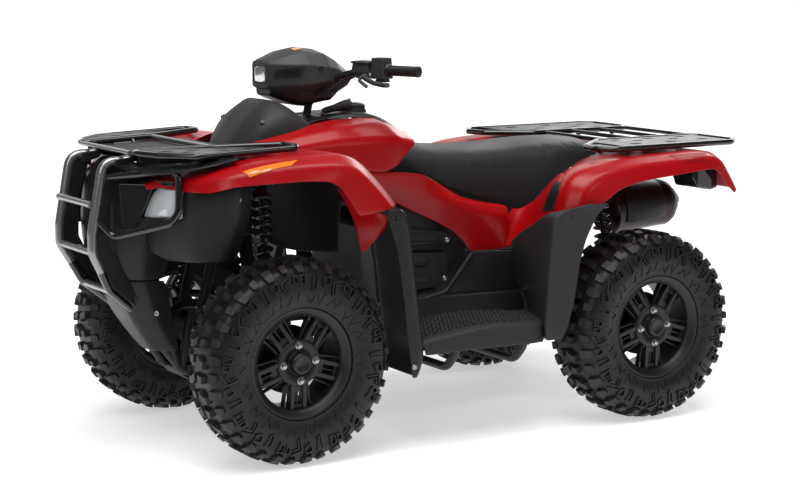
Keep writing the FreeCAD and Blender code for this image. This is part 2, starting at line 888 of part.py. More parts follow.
front_bar_shares = [
    ((0.79414, -0.31457, 0.76275), (0.79414, 0.31457, 0.76275)),
    ((0.59522, -0.37748, 0.76761), (0.59522, 0.37748, 0.76761)),
]
rack_radius = size("rack_tube_radius")
cross_bar_share = 0.96
guard_line = spots(guard_upright_shares)
guard_top = spot(front_bar_shares[0][0]).z - rack_radius * cross_bar_share - guard_radius - seat_gap
guard_line[0].z = guard_top
guard_line[1].z = guard_top
web_points = spots(guard_web_shares)
web_face = Part.Face(Part.makePolygon(web_points + [web_points[0]]))
web = web_face.extrude(LEFT * size("bracket_wall"))
web.translate(LEFT * (-size("bracket_wall") / 2))
guard_shapes = [tube(guard_line, guard_radius, size("guard_bend")), web,
                tube(spots(guard_loop_shares), loop_radius, size("loop_bend"))]
guard_shapes += [mirrored(s) for s in guard_shapes]
for share in guard_cross_shares:
    end = spot(share)
    guard_shapes.append(rod(end, flip(end), loop_radius))
front_guard = joined(guard_shapes)
keep(node("front_guard", front_guard))

# Panels. Each is a sheet carried through a row of sections.

fascia_shares = [
    (0.4413, [(0.69776, 0.24834), (0.75944, 0.2351), (0.80031, 0.16556), (0.80648, 0)]),
    (0.48583, [(0.69391, 0.27815), (0.76715, 0.2649), (0.8111, 0.18212), (0.81881, 0)]),
    (0.5587, [(0.6862, 0.30795), (0.77718, 0.2947), (0.8219, 0.19536), (0.82806, 0)]),
    (0.64777, [(0.67849, 0.3394), (0.77101, 0.31788), (0.81573, 0.19536), (0.82344, 0)]),
    (0.69798, [(0.67078, 0.35099), (0.75944, 0.32781), (0.80185, 0.19536), (0.80956, 0)]),
    (0.72551, [(0.66692, 0.3394), (0.73631, 0.31457), (0.77101, 0.19536), (0.77872, 0)]),
]
lower_cover_shares = [
    (0.24453, [(0.64379, 0.15728), (0.65536, 0.15728), (0.69391, 0.08609), (0.70008, 0)]),
    (0.32389, [(0.66307, 0.19536), (0.71318, 0.18543), (0.74942, 0.11589), (0.75559, 0)]),
    (0.40486, [(0.6862, 0.24172), (0.74788, 0.22848), (0.78797, 0.15728), (0.79414, 0)]),
    (0.44105, [(0.69622, 0.24669), (0.75713, 0.23344), (0.79722, 0.16556), (0.80339, 0)]),
]
shroud_shares = [
    (0.51822, [(0.61681, 0.58278), (0.64456, 0.60596), (0.69776, 0.54636), (0.74942, 0.29139)]),
    (0.5668, [(0.57209, 0.58278), (0.6091, 0.62583), (0.70316, 0.57947), (0.75559, 0.29139)]),
    (0.61538, [(0.55204, 0.59603), (0.60139, 0.64901), (0.70547, 0.59934), (0.75867, 0.29801)]),
    (0.66883, [(0.55667, 0.61589), (0.6091, 0.66556), (0.70547, 0.61589), (0.75173, 0.30795)]),
]
front_fender_shares = [
    (0.77487, 0.68502, 0.77487, 0.6753, [(0.36755, 0.3), (0.38079, 0.3), (0.38907, 0.0),
         (0.39404, -0.5), (0.39735, -1)]),
    (0.75173, 0.69798, 0.75173, 0.68178, [(0.36755, 0.2), (0.4106, 0.2), (0.43046, 0.0),
         (0.44205, -0.4), (0.44702, -1)]),
    (0.72089, 0.70445, 0.72089, 0.67368, [(0.37252, 0.15), (0.48013, 0.1), (0.51656, 0.0),
         (0.53642, -0.35), (0.54305, -1)]),
    (0.6862, 0.71255, 0.69391, 0.67854, [(0.39735, 0.3), (0.56291, 0.25), (0.71192, 0.0),
         (0.74834, -0.35), (0.76159, -1)]),
    (0.64379, 0.73279, 0.64611, 0.69474, [(0.39735, 0.15), (0.59603, 0.15), (0.75828, 0.0),
         (0.81788, -0.3), (0.83775, -1)]),
    (0.57055, 0.7498, 0.57055, 0.7004, [(0.39073, -0.1), (0.62914, 0.08), (0.7947, 0.0),
         (0.87748, -0.3), (0.90728, -1)]),
    (0.48574, 0.75709, 0.48728, 0.70283, [(0.38411, -0.2), (0.62914, 0.0), (0.80298, 0.0),
         (0.90232, -0.34), (0.93046, -1)]),
    (0.41249, 0.76113, 0.4256, 0.69798, [(0.40066, -0.1), (0.6457, 0.03), (0.80795, 0.0),
         (0.9106, -0.36), (0.93543, -1)]),
    (0.35466, 0.75789, 0.40093, 0.68178, [(0.40728, -0.05), (0.6457, 0.03), (0.81126, 0.0),
         (0.9106, -0.33), (0.93543, -1)]),
    (0.31997, 0.73846, 0.38551, 0.65992, [(0.41391, -0.05), (0.6457, 0.03), (0.81126, 0.0),
         (0.9106, -0.3), (0.93543, -1)]),
    (0.28913, 0.70931, 0.37008, 0.63806, [(0.42053, -0.05), (0.6457, 0.03), (0.81457, 0.0),
         (0.9106, -0.3), (0.93377, -1)]),
    (0.25443, 0.66883, 0.36083, 0.62186, [(0.42715, -0.05), (0.6457, 0.02), (0.81788, 0.0),
         (0.9106, -0.28), (0.93212, -1)]),
    (0.21974, 0.62348, 0.35312, 0.60891, [(0.43377, -0.05), (0.6457, 0.02), (0.82781, 0.0),
         (0.91391, -0.25), (0.93046, -1)]),
]
rear_fender_shares = [
    (-0.22822, 0.60324, -0.3485, 0.58947, [(0.77815, -0.02), (0.79801, 0.0), (0.8245, 0.0),
         (0.9106, -0.25), (0.93377, -1)]),
    (-0.24056, 0.6413, -0.36854, 0.60324, [(0.72848, -0.02), (0.77152, 0.0), (0.81788, 0.0),
         (0.9106, -0.25), (0.93377, -1)]),
    (-0.266, 0.66559, -0.38551, 0.617, [(0.66225, -0.02), (0.72848, 0.0), (0.81126, 0.0),
         (0.9106, -0.25), (0.93377, -1)]),
    (-0.31226, 0.67854, -0.40478, 0.62834, [(0.49669, -0.02), (0.6457, 0.0), (0.80464, 0.0),
         (0.90728, -0.28), (0.93377, -1)]),
    (-0.37394, 0.69231, -0.4441, 0.63968, [(0.35099, -0.12), (0.56291, 0.0), (0.80132, 0.0),
         (0.90397, -0.3), (0.93377, -1)]),
    (-0.43948, 0.6996, -0.48188, 0.64534, [(0.34768, -0.1), (0.56291, 0.05), (0.80132, 0.0),
         (0.90232, -0.3), (0.93212, -1)]),
    (-0.56284, 0.70526, -0.56669, 0.65263, [(0.34106, -0.05), (0.56291, 0.06), (0.80132, 0.0),
         (0.89735, -0.3), (0.92715, -1)]),
    (-0.66076, 0.7085, -0.66076, 0.66073, [(0.33113, -0.1), (0.56291, 0.04), (0.80132, 0.0),
         (0.89404, -0.3), (0.92053, -1)]),
    (-0.72475, 0.70931, -0.71396, 0.66235, [(0.32781, -0.1), (0.56291, 0.0), (0.79139, 0.0),
         (0.88079, -0.3), (0.90397, -1)]),
    (-0.75944, 0.6996, -0.734, 0.64939, [(0.32781, -0.08), (0.56291, 0.0), (0.78477, 0.0),
         (0.87086, -0.3), (0.89404, -1)]),
    (-0.78489, 0.66235, -0.75713, 0.62186, [(0.33113, 0.0), (0.56291, 0.0), (0.78146, 0.0),
         (0.86093, -0.3), (0.88576, -1)]),
    (-0.8219, 0.59757, -0.79722, 0.58785, [(0.33775, 0.0), (0.56291, 0.0), (0.77815, 0.0),
         (0.85099, -0.3), (0.87417, -1)]),
]
tank_side_shares = [
    (0.53971, [(0.37748, 0.71255), (0.37417, 0.72227), (0.3394, 0.7336), (0.27318, 0.73846)]),
    (0.46261, [(0.40397, 0.71579), (0.39404, 0.74818), (0.35099, 0.76275), (0.27318, 0.76923)]),
    (0.38551, [(0.42715, 0.71255), (0.41722, 0.75951), (0.36755, 0.77895), (0.27815, 0.78381)]),
    (0.3084, [(0.43709, 0.70283), (0.42715, 0.76923), (0.37417, 0.7919), (0.21854, 0.8)]),
    (0.2313, [(0.44702, 0.68826), (0.43377, 0.77571), (0.37252, 0.80162), (0.17881, 0.80972)]),
    (0.13107, [(0.44371, 0.67692), (0.42715, 0.77085), (0.35099, 0.80648), (0.17881, 0.81296)]),
    (0.05397, [(0.42715, 0.67045), (0.40397, 0.74899), (0.31457, 0.77733), (0.17881, 0.78704)]),
    (0.02776, [(0.41391, 0.67206), (0.38079, 0.73279), (0.29801, 0.75951), (0.17881, 0.76599)]),
]
tank_top_shares = [
    (0.24056, [(0.1755, 0.81215), (0.15232, 0.81943), (0.06623, 0.82267), (0, 0.82267)]),
    (0.18504, [(0.1755, 0.81457), (0.15232, 0.82429), (0.06623, 0.82834), (0, 0.82834)]),
    (0.11565, [(0.1755, 0.81377), (0.15232, 0.82348), (0.06623, 0.82672), (0, 0.82672)]),
    (0.06476, [(0.1755, 0.79433), (0.15232, 0.80324), (0.06623, 0.8081), (0, 0.8081)]),
    (0.03084, [(0.1755, 0.76842), (0.15232, 0.77571), (0.06623, 0.77895), (0, 0.77895)]),
]
cowl_shares = [
    (0.53585, [(0.24834, 0.74008), (0.19536, 0.7498), (0.09934, 0.75951), (0, 0.76275)]),
    (0.50116, [(0.26159, 0.75789), (0.22185, 0.78219), (0.12252, 0.8081), (0, 0.81377)]),
    (0.4549, [(0.26821, 0.77409), (0.24007, 0.8081), (0.13576, 0.84372), (0, 0.85263)]),
    (0.41635, [(0.26821, 0.78543), (0.24834, 0.81943), (0.14238, 0.85992), (0, 0.87045)]),
    (0.38551, [(0.26159, 0.7919), (0.24503, 0.82267), (0.1457, 0.86316), (0, 0.87449)]),
    (0.35621, [(0.24834, 0.79838), (0.23841, 0.82105), (0.14238, 0.85992), (0, 0.87126)]),
    (0.33153, [(0.23841, 0.80162), (0.22848, 0.81296), (0.13907, 0.84534), (0, 0.8583)]),
    (0.31226, [(0.22185, 0.80324), (0.21192, 0.8081), (0.13907, 0.82591), (0, 0.83563)]),
]
side_panel_shares = [
    (0.14649, [(0.40728, 0.6251), (0.42881, 0.64777), (0.43377, 0.67045)]),
    (0.09561, [(0.39735, 0.58947), (0.42219, 0.63158), (0.42715, 0.66559)]),
    (0.0347, [(0.39073, 0.56356), (0.41391, 0.61538), (0.41391, 0.65992)]),
    (-0.02159, [(0.38411, 0.53765), (0.40728, 0.583), (0.40066, 0.63968)]),
    (-0.06631, [(0.37748, 0.5085), (0.40397, 0.5587), (0.38079, 0.61538)]),
    (-0.10023, [(0.37417, 0.47287), (0.40232, 0.53441), (0.36424, 0.59757)]),
    (-0.14109, [(0.37417, 0.4502), (0.40066, 0.51822), (0.35596, 0.57814)]),
    (-0.18504, [(0.37748, 0.4502), (0.39735, 0.50202), (0.35099, 0.5587)]),
    (-0.2128, [(0.39735, 0.45344), (0.40397, 0.49393), (0.35099, 0.55061)]),
]
seat_shares = [
    (0.06322, [(0, 0.70283), (0.15894, 0.70121), (0.17881, 0.68502), (0.20199, 0.68826),
         (0.2053, 0.71579), (0.12583, 0.73522), (0, 0.74008)]),
    (0.02776, [(0, 0.69798), (0.19868, 0.69474), (0.22185, 0.67045), (0.24834, 0.6753),
         (0.24834, 0.72551), (0.16225, 0.75304), (0, 0.76113)]),
    (-0.01542, [(0, 0.68826), (0.24172, 0.68502), (0.2649, 0.64939), (0.2947, 0.65263),
         (0.28477, 0.71255), (0.17881, 0.73684), (0, 0.74251)]),
    (-0.07479, [(0, 0.67206), (0.2649, 0.66883), (0.29139, 0.61538), (0.32119, 0.61862),
         (0.30464, 0.70283), (0.19205, 0.72227), (0, 0.72632)]),
    (-0.1542, [(0, 0.65992), (0.27152, 0.65749), (0.30132, 0.57976), (0.33113, 0.583),
         (0.31126, 0.69636), (0.19868, 0.71579), (0, 0.71984)]),
    (-0.24441, [(0, 0.65587), (0.27152, 0.65425), (0.30132, 0.55385), (0.33113, 0.55709),
         (0.31126, 0.69636), (0.19868, 0.71498), (0, 0.71903)]),
    (-0.3084, [(0, 0.65425), (0.27152, 0.65263), (0.30132, 0.54413), (0.33113, 0.54737),
         (0.31126, 0.69798), (0.19868, 0.7166), (0, 0.72065)]),
    (-0.36237, [(0, 0.65749), (0.27152, 0.65587), (0.29801, 0.56842), (0.32616, 0.57328),
         (0.31126, 0.70121), (0.19868, 0.72065), (0, 0.72389)]),
    (-0.43177, [(0, 0.67368), (0.26821, 0.67206), (0.2947, 0.63158), (0.32119, 0.63644),
         (0.30464, 0.70445), (0.19536, 0.72389), (0, 0.72794)]),
    (-0.532, [(0, 0.68178), (0.23841, 0.67854), (0.25828, 0.66397), (0.28146, 0.67045),
         (0.27152, 0.70283), (0.18543, 0.72227), (0, 0.72632)]),
    (-0.56823, [(0, 0.68502), (0.20861, 0.68259), (0.22848, 0.67368), (0.25166, 0.67692),
         (0.24172, 0.69636), (0.16225, 0.71174), (0, 0.71579)]),
]
front_mudguard_shares = [
    (0.18866, [(0.202, 0.91391), (0.1835, 0.90728), (0.18196, 0.49669)]),
    (0.2413, [(0.20971, 0.92053), (0.165, 0.91391), (0.16345, 0.49669)]),
    (0.28583, [(0.21742, 0.92384), (0.17194, 0.91722), (0.16962, 0.49338)]),
    (0.38785, [(0.22899, 0.92715), (0.18427, 0.92053), (0.18042, 0.49007)]),
    (0.51822, [(0.24827, 0.93046), (0.202, 0.92384), (0.19584, 0.48675)]),
    (0.57733, [(0.26985, 0.93212), (0.20817, 0.92384), (0.19892, 0.48344)]),
    (0.61862, [(0.28373, 0.93212), (0.22051, 0.92053), (0.20817, 0.48013)]),
]
rear_mudguard_shares = [
    (0.24615, [(-0.2313, 0.92715), (-0.18658, 0.92053), (-0.18504, 0.49669)]),
    (0.28259, [(-0.24827, 0.93046), (-0.17965, 0.92219), (-0.17733, 0.49669)]),
    (0.35466, [(-0.26831, 0.93212), (-0.18504, 0.92384), (-0.18504, 0.44702)]),
    (0.44372, [(-0.28065, 0.93377), (-0.19275, 0.92384), (-0.19429, 0.43377)]),
    (0.47773, [(-0.2899, 0.93543), (-0.20046, 0.92384), (-0.21897, 0.56291)]),
    (0.5085, [(-0.30069, 0.93543), (-0.20509, 0.92384), (-0.22976, 0.69536)]),
    (0.5587, [(-0.32691, 0.93709), (-0.202, 0.92219), (-0.20663, 0.82781)]),
    (0.58138, [(-0.3485, 0.93709), (-0.2313, 0.92384), (-0.22359, 0.88411)]),
]
floor_shares = [
    (0.17116, [(0.49007, 0.28502), (0.87748, 0.2834), (0.90728, 0.27854), (0.91722, 0.24291)]),
    (0.09252, [(0.49007, 0.29312), (0.87748, 0.29312), (0.9106, 0.28826), (0.92053, 0.24453)]),
    (0.00694, [(0.49007, 0.30283), (0.87748, 0.30283), (0.9106, 0.29798), (0.92053, 0.24453)]),
    (-0.05089, [(0.49007, 0.30445), (0.87748, 0.30445), (0.9106, 0.2996), (0.92053, 0.24291)]),
    (-0.18273, [(0.49007, 0.29636), (0.87748, 0.29636), (0.9106, 0.2915), (0.92053, 0.2413)]),
]
front_deck_shares = [
    (0.75944, [(0.30795, 0.73117), (0.24834, 0.73522), (0, 0.73765)]),
    (0.69391, [(0.3245, 0.73117), (0.24834, 0.73846), (0, 0.7417)]),
    (0.53971, [(0.34106, 0.73117), (0.24834, 0.74332), (0, 0.74656)]),
]
rear_deck_shares = [
    (-0.5744, [(0.30132, 0.67854), (0.24834, 0.68664), (0, 0.68988)]),
    (-0.66307, [(0.30464, 0.68178), (0.24834, 0.68826), (0, 0.6915)]),
    (-0.75944, [(0.30464, 0.67854), (0.24834, 0.68502), (0, 0.68826)]),
]
pod_shares = [
    (0.37779, [(0, 0.89393), (0.08278, 0.89555), (0.09272, 0.90202), (0.09272, 0.96032),
         (0.07616, 0.96599), (0, 0.96761)]),
    (0.35081, [(0, 0.88259), (0.11589, 0.88745), (0.14238, 0.90364), (0.14238, 0.9587),
         (0.09934, 0.9749), (0, 0.98057)]),
    (0.31611, [(0, 0.87287), (0.14238, 0.88745), (0.17881, 0.90364), (0.17881, 0.95709),
         (0.12583, 0.98623), (0, 0.99514)]),
    (0.28913, [(0, 0.85506), (0.13907, 0.88583), (0.18874, 0.90688), (0.18874, 0.95547),
         (0.13907, 0.98947), (0, 1)]),
    (0.23516, [(0, 0.84858), (0.13907, 0.88583), (0.19205, 0.91336), (0.18874, 0.94899),
         (0.13576, 0.983), (0, 0.99352)]),
    (0.19815, [(0, 0.85506), (0.12583, 0.88421), (0.16887, 0.91336), (0.16225, 0.94089),
         (0.11589, 0.96356), (0, 0.97166)]),
    (0.15729, [(0, 0.89069), (0.09272, 0.89717), (0.12914, 0.91174), (0.11589, 0.92955),
         (0.07285, 0.93684), (0, 0.9417)]),
]
apron_shares = [
    (0.42053, [(-0.22051, 0.4583), (-0.25443, 0.51822), (-0.30224, 0.57166)]),
    (0.50662, [(-0.24056, 0.47935), (-0.2714, 0.5587), (-0.33308, 0.65263)]),
    (0.66887, [(-0.24981, 0.51498), (-0.26214, 0.59919), (-0.28219, 0.67045)]),
    (0.7947, [(-0.23053, 0.57166), (-0.23362, 0.60081), (-0.24056, 0.62348)]),
]
dash_shares = [
    (0.30378, [(0.2053, 0.80162), (0.18543, 0.80648), (0.09934, 0.8081), (0.04967, 0.80891)]),
    (0.26985, [(0.18543, 0.81134), (0.16556, 0.817), (0.09934, 0.82024), (0.04305, 0.82105)]),
    (0.24056, [(0.1755, 0.81215), (0.15232, 0.81943), (0.09934, 0.82267), (0.04305, 0.82267)]),
]


def whole_z(table):
    """Doubles each level section with its mirror image, so that one sheet spans both sides."""
    return [(z, list(line) + [(x, -y) for x, y in reversed(line) if y > 0]) for z, line in table]


fascia = z_skin(whole_z(fascia_shares), -wall)
keep(node("front_fascia", fascia))
lower_cover = z_skin(whole_z(lower_cover_shares), -wall).cut(front_guard)
keep(node("front_lower_cover", lower_cover))
lamp_table_shares = [
    (0.60891, [(0.69391, 0.36755), (0.7633, 0.35762), (0.73246, 0.50662), (0.69391, 0.53311)]),
    (0.64777, [(0.69005, 0.36755), (0.76484, 0.35762), (0.7286, 0.51656), (0.68774, 0.54636)]),
    (0.67854, [(0.6862, 0.36755), (0.75173, 0.35762), (0.71704, 0.51656), (0.68157, 0.54967)]),
]
headlamp = z_solid(lamp_table_shares)
shroud = largest(z_skin(shroud_shares, -wall).cut(headlamp).cut(fascia))
keep(node("front_shrouds", both(shroud)))

tank_side = x_skin(tank_side_shares, -wall)
front_fender = largest(crest_skin(front_fender_shares, -wall).cut(tank_side))
keep(node("front_fender_left", front_fender))
keep(node("front_fender_right", mirrored(front_fender)))
keep(node("tank_cover", both(tank_side)))


def whole_x(table):
    return [(x, list(line) + [(-y, z) for y, z in reversed(line) if y > 0]) for x, line in table]


tank_top = x_skin(whole_x(tank_top_shares), -wall)
dash = x_skin(dash_shares, -wall)
cap_place = spot([(0.12336, 0, 0.82429)][0])
fuel_cap = joined([
    Part.makeCylinder(size("cap_radius"), size("cap_rise") * 2, cap_place - UP * size("cap_rise"), UP),
    Part.makeCone(size("cap_radius"), size("cap_radius") * 0.82, size("cap_rise") * 0.3,
                  cap_place + UP * size("cap_rise"), UP)])
tank_lid = joined([tank_top, dash, mirrored(dash), fuel_cap])
keep(node("tank_top", tank_lid))
cowl = x_skin(whole_x(cowl_shares), -wall)
keep(node("cowl", cowl))
side_panel = x_skin(side_panel_shares, wall)
keep(node("side_panels", both(side_panel)))
seat = x_solid(seat_shares, False)
keep(node("seat", seat))


def footwell():
    front = z_skin(front_mudguard_shares, guard_wall)
    back = z_skin(rear_mudguard_shares, -guard_wall)
    floor = x_skin(floor_shares, -guard_wall)
    return joined([front, floor, back])


footwell_left = footwell()
keep(node("footwell_left", footwell_left))
keep(node("footwell_right", mirrored(footwell_left)))

rear_fender = joined([crest_skin(rear_fender_shares, -wall), y_skin(apron_shares, -wall)])
keep(node("rear_fender_left", rear_fender))
keep(node("rear_fender_right", mirrored(rear_fender)))

# Frame: two lower rails that rise to the guard, two upper rails from the head to the tail,
# uprights, cross tubes and outriggers under the floorboards.

upper_rail_shares = [
    (0.5744, 0.10927, 0.34332),
    (0.532, 0.12252, 0.51822),
    (0.43177, 0.12417, 0.64372),
    (0.2313, 0.12417, 0.59919),
    (-0.04626, 0.12417, 0.5587),
    (-0.37008, 0.12417, 0.51822),
    (-0.53971, 0.12417, 0.55061),
    (-0.75559, 0.12417, 0.59919),
]
front_upright_shares = [
    (0.63608, 0.11258, 0.19919),
    (0.69776, 0.11589, 0.40486),
    (0.67849, 0.11589, 0.61538),
    (0.6091, 0.11589, 0.69636),
    (0.41635, 0.11921, 0.64777),
]
rear_stay_shares = [
    (-0.64765, 0.11589, 0.18785),
    (-0.69776, 0.11589, 0.32389),
    (-0.74017, 0.11921, 0.48583),
    (-0.74634, 0.12417, 0.59757),
]
front_mid_rail_shares = [
    (0.62606, 0.11589, 0.20243),
    (0.60601, 0.11589, 0.34008),
    (0.28373, 0.11589, 0.34008),
    (0.28373, 0.11589, 0.18785),
]
rear_mid_rail_shares = [
    (-0.37779, 0.11589, 0.18785),
    (-0.38551, 0.11589, 0.3336),
    (-0.63994, 0.11589, 0.3336),
    (-0.69391, 0.11589, 0.31579),
]
cross_tubes_shares = [
    (0.61681, 0.11424, 0.18543),
    (0.28373, 0.11424, 0.18543),
    (-0.36237, 0.11424, 0.18543),
    (-0.63994, 0.11424, 0.18543),
    (0.43177, 0.12252, 0.64372),
    (-0.74788, 0.12252, 0.59757),
    (0.75405, 0.0745, 0.38704),
    (-0.69776, 0.11424, 0.32389),
]
hitch_tube_shares = cross_tubes_shares[-1]
slat = size("slat_radius")
outrigger_shares = [
    [(0.04626, 0.09934, 0.18543), (0.04626, 0.71192, 0.18543), (0.04626, 0.80464, 0.23158), (0.04626, 0.80464, 0.29312)],
    [(-0.1542, 0.09934, 0.18543), (-0.1542, 0.71192, 0.18543), (-0.1542, 0.80464, 0.23158), (-0.1542, 0.80464, 0.29312)],
]
rear_fender_stay_shares = [
    ((-0.53971, 0.12583, 0.55223), (-0.53971, 0.39073, 0.71741)),
]
exhaust_stay_shares = [
    ((-0.73631, 0.11921, 0.48583), (-0.73631, 0.24834, 0.53036)),
]
seat_stay_shares = [
    ((-0.04626, 0.12583, 0.56194), (-0.04626, 0.15232, 0.73279)),
    ((-0.46261, 0.12583, 0.53441), (-0.46261, 0.15232, 0.71255)),
]
side_panel_stay_shares = [
    ((-0.08481, 0.12583, 0.5587), (-0.08481, 0.43377, 0.57166)),
    ((0.09252, 0.12583, 0.57652), (0.09252, 0.43377, 0.61538)),
]
cowl_stay_shares = [
    ((0.42251, 0.12417, 0.64777), (0.43177, 0.24834, 0.84211)),
]


def stay(start, end, panel):
    """A round bracket that runs from the frame to the surface of what it carries."""
    return largest(rod(start, end, slat).cut(panel))


frame_shapes = []
for shares, radius in ((lower_rail_shares, frame_radius), (upper_rail_shares, frame_radius),
                       (front_upright_shares, cross_radius), (rear_stay_shares, cross_radius),
                       (front_mid_rail_shares, cross_radius), (rear_mid_rail_shares, cross_radius)):
    line = spots(shares)
    frame_shapes.append(tube(line, radius, frame_bend))
    frame_shapes.append(tube(flipped(line), radius, frame_bend))
for share in cross_tubes_shares:
    end = spot(share)
    frame_shapes.append(rod(end, flip(end), cross_radius))
for shares in outrigger_shares:
    line = spots(shares)
    frame_shapes.append(tube(line, cross_radius, frame_bend))
    frame_shapes.append(tube(flipped(line), cross_radius, frame_bend))
for shares in (front_tower_shares, rear_tower_shares):
    root, head = spots(shares)
    pin = AHEAD * (shock_pin_length / 2)
    for a, b in ((root, head), (flip(root), flip(head))):
        frame_shapes.append(rod(a, b - pin * 1.4, cross_radius))
        frame_shapes.append(rod(b - pin * 1.6, b + pin, shock_pin))
for centre in sleeve_spots:
    half_sleeve = stem_dir * (sleeve_length / 2)
    frame_shapes.append(rod(centre - half_sleeve, centre + half_sleeve, stem_sleeve))
sleeve_ties_shares = [
    (0.36623, 0.11589, 0.34008),
    (0.29761, 0.12417, 0.61862),
]
for centre, share in zip(sleeve_spots, sleeve_ties_shares):
    end = spot(share)
    frame_shapes.append(rod(Vector(centre.x, 0, centre.z), end, cross_radius))
    frame_shapes.append(rod(Vector(centre.x, 0, centre.z), flip(end), cross_radius))
for shares, panel in ((rear_fender_stay_shares, rear_fender), (exhaust_stay_shares, exhaust),
                      (seat_stay_shares, seat), (side_panel_stay_shares, side_panel),
                      (cowl_stay_shares, cowl)):
    for a, b in shares:
        piece = stay(spot(a), spot(b), panel)
        frame_shapes.append(piece)
        if panel is not exhaust:
            frame_shapes.append(mirrored(piece))
frame = stem_holes(joined(frame_shapes))
keep(node("frame", frame))

# Racks: closed tubes with slotted plates, on legs that stand on the frame.

plate_wall = size("rack_plate_wall")


def slotted_plate(shares, slots):
    points = spots(shares)
    face = Part.Face(Part.makePolygon(points + [points[0]]))
    shape = face.extrude(UP * plate_wall)
    shape.translate(UP * (-plate_wall / 2))
    for low, high in slots:
        a = spot(low)
        b = spot(high)
        shape = shape.cut(Part.makeBox(b.x - a.x, b.y - a.y, plate_wall * 6, a - UP * (plate_wall * 3)))
    return shape


front_wing_shares = [
    (0.79877, 0.30629, 0.76275),
    (0.75944, 0.48344, 0.76113),
    (0.69391, 0.63907, 0.76113),
    (0.43639, 0.65563, 0.77085),
    (0.44102, 0.50331, 0.77247),
    (0.59368, 0.37417, 0.76761),
]
front_plate_shares = [
    (0.77872, 0.3543, 0.76599),
    (0.75713, 0.46358, 0.76599),
    (0.69237, 0.62252, 0.76599),
    (0.46261, 0.63907, 0.76599),
    (0.45952, 0.50662, 0.76599),
    (0.59753, 0.39073, 0.76599),
]
front_slot_shares = [
    ((0.67849, 0.41391, 0.76437), (0.74017, 0.43709, 0.76437)),
    ((0.58597, 0.48344, 0.76761), (0.67849, 0.50662, 0.76761)),
    ((0.49345, 0.57119, 0.76923), (0.58597, 0.59437, 0.76923)),
    ((0.61681, 0.55629, 0.76761), (0.67849, 0.57947, 0.76761)),
]
front_leg_shares = [
    ((0.65227, 0.3543, 0.76599), (0.64611, 0.12583, 0.66559)),
]
front_hole_shares = [
    (0.71704, 0.51325, 0.76599),
    (0.53971, 0.51325, 0.76599),
]
rear_wing_shares = [
    (-0.43177, 0.57947, 0.72227),
    (-0.47803, 0.63576, 0.72308),
    (-0.84811, 0.63576, 0.72308),
    (-0.87587, 0.56291, 0.72308),
    (-0.87587, 0.35596, 0.72308),
    (-0.84811, 0.31457, 0.72308),
    (-0.53971, 0.31457, 0.72308),
    (-0.44333, 0.48013, 0.72308),
]
rear_plate_shares = [
    (-0.49345, 0.61921, 0.72308),
    (-0.8404, 0.61921, 0.72308),
    (-0.8404, 0.33113, 0.72308),
    (-0.54742, 0.33113, 0.72308),
    (-0.49345, 0.41391, 0.72308),
]
rear_slot_shares = [
    ((-0.81727, 0.54636, 0.72308), (-0.74017, 0.57285, 0.72308)),
    ((-0.69391, 0.54636, 0.72308), (-0.61681, 0.57285, 0.72308)),
    ((-0.81727, 0.39735, 0.72308), (-0.74017, 0.42384, 0.72308)),
    ((-0.69391, 0.39735, 0.72308), (-0.61681, 0.42384, 0.72308)),
]
rear_bar_shares = [
    ((-0.86662, -0.33113, 0.72308), (-0.86662, 0.33113, 0.72308)),
    ((-0.77101, -0.31788, 0.72308), (-0.77101, 0.31788, 0.72308)),
    ((-0.67078, -0.31788, 0.72308), (-0.67078, 0.31788, 0.72308)),
    ((-0.5798, -0.31788, 0.72308), (-0.5798, 0.31788, 0.72308)),
]
rear_leg_shares = [
    ((-0.67078, 0.24834, 0.72308), (-0.67078, 0.13576, 0.57976)),
    ((-0.77101, 0.19868, 0.72308), (-0.75173, 0.13245, 0.60081)),
]
rear_hole_shares = [
    (-0.79414, 0.48013, 0.72308),
    (-0.57055, 0.48013, 0.72308),
]


def rack(wing, plate_points, slots, bars, legs, holes):
    side = [tube_loop(spots(wing), rack_radius, size("rack_bend")), slotted_plate(plate_points, slots)]
    for a, b in legs:
        side.append(rod(spot(a), spot(b), slat))
    shapes = side + [mirrored(s) for s in side]
    for a, b in bars:
        shapes.append(rod(spot(a), spot(b), slat if a[0] != b[0] else rack_radius * cross_bar_share))
    shape = joined(shapes).cut(frame)
    shape = Part.Compound([s for s in shape.Solids if s.Volume > rack_radius ** 3])
    for share in holes:
        centre = spot(share)
        for place in (centre, flip(centre)):
            shape = shape.cut(upright_pin(place, size("rack_hole_radius"), plate_wall * 6))
    return shape


front_rack = rack(front_wing_shares, front_plate_shares, front_slot_shares, front_bar_shares,
                  front_leg_shares, front_hole_shares)
rear_rack = rack(rear_wing_shares, rear_plate_shares, rear_slot_shares, rear_bar_shares,
                 rear_leg_shares, rear_hole_shares)
keep(node("front_rack", front_rack))
keep(node("rear_rack", rear_rack))
front_deck = x_skin(whole_x(front_deck_shares), -wall).cut(front_rack)
keep(node("front_deck", front_deck))
rear_deck = x_skin(whole_x(rear_deck_shares), -wall).cut(rear_rack)
keep(node("rear_deck", rear_deck))

# Lamps and reflectors.

keep(node("headlamps", both(headlamp)))
tail_low, tail_high = spots([
    (-0.81881, 0.41391, 0.62834),
    (-0.78643, 0.69536, 0.66559),
])
tail = Part.makeBox(tail_high.x - tail_low.x, tail_high.y - tail_low.y, tail_high.z - tail_low.z, tail_low)
tail = largest(tail.cut(rear_fender))
keep(node("tail_lamps", both(tail)))

# Hitch plate at the tail of the frame, with the hole that a tow ball bolts into.

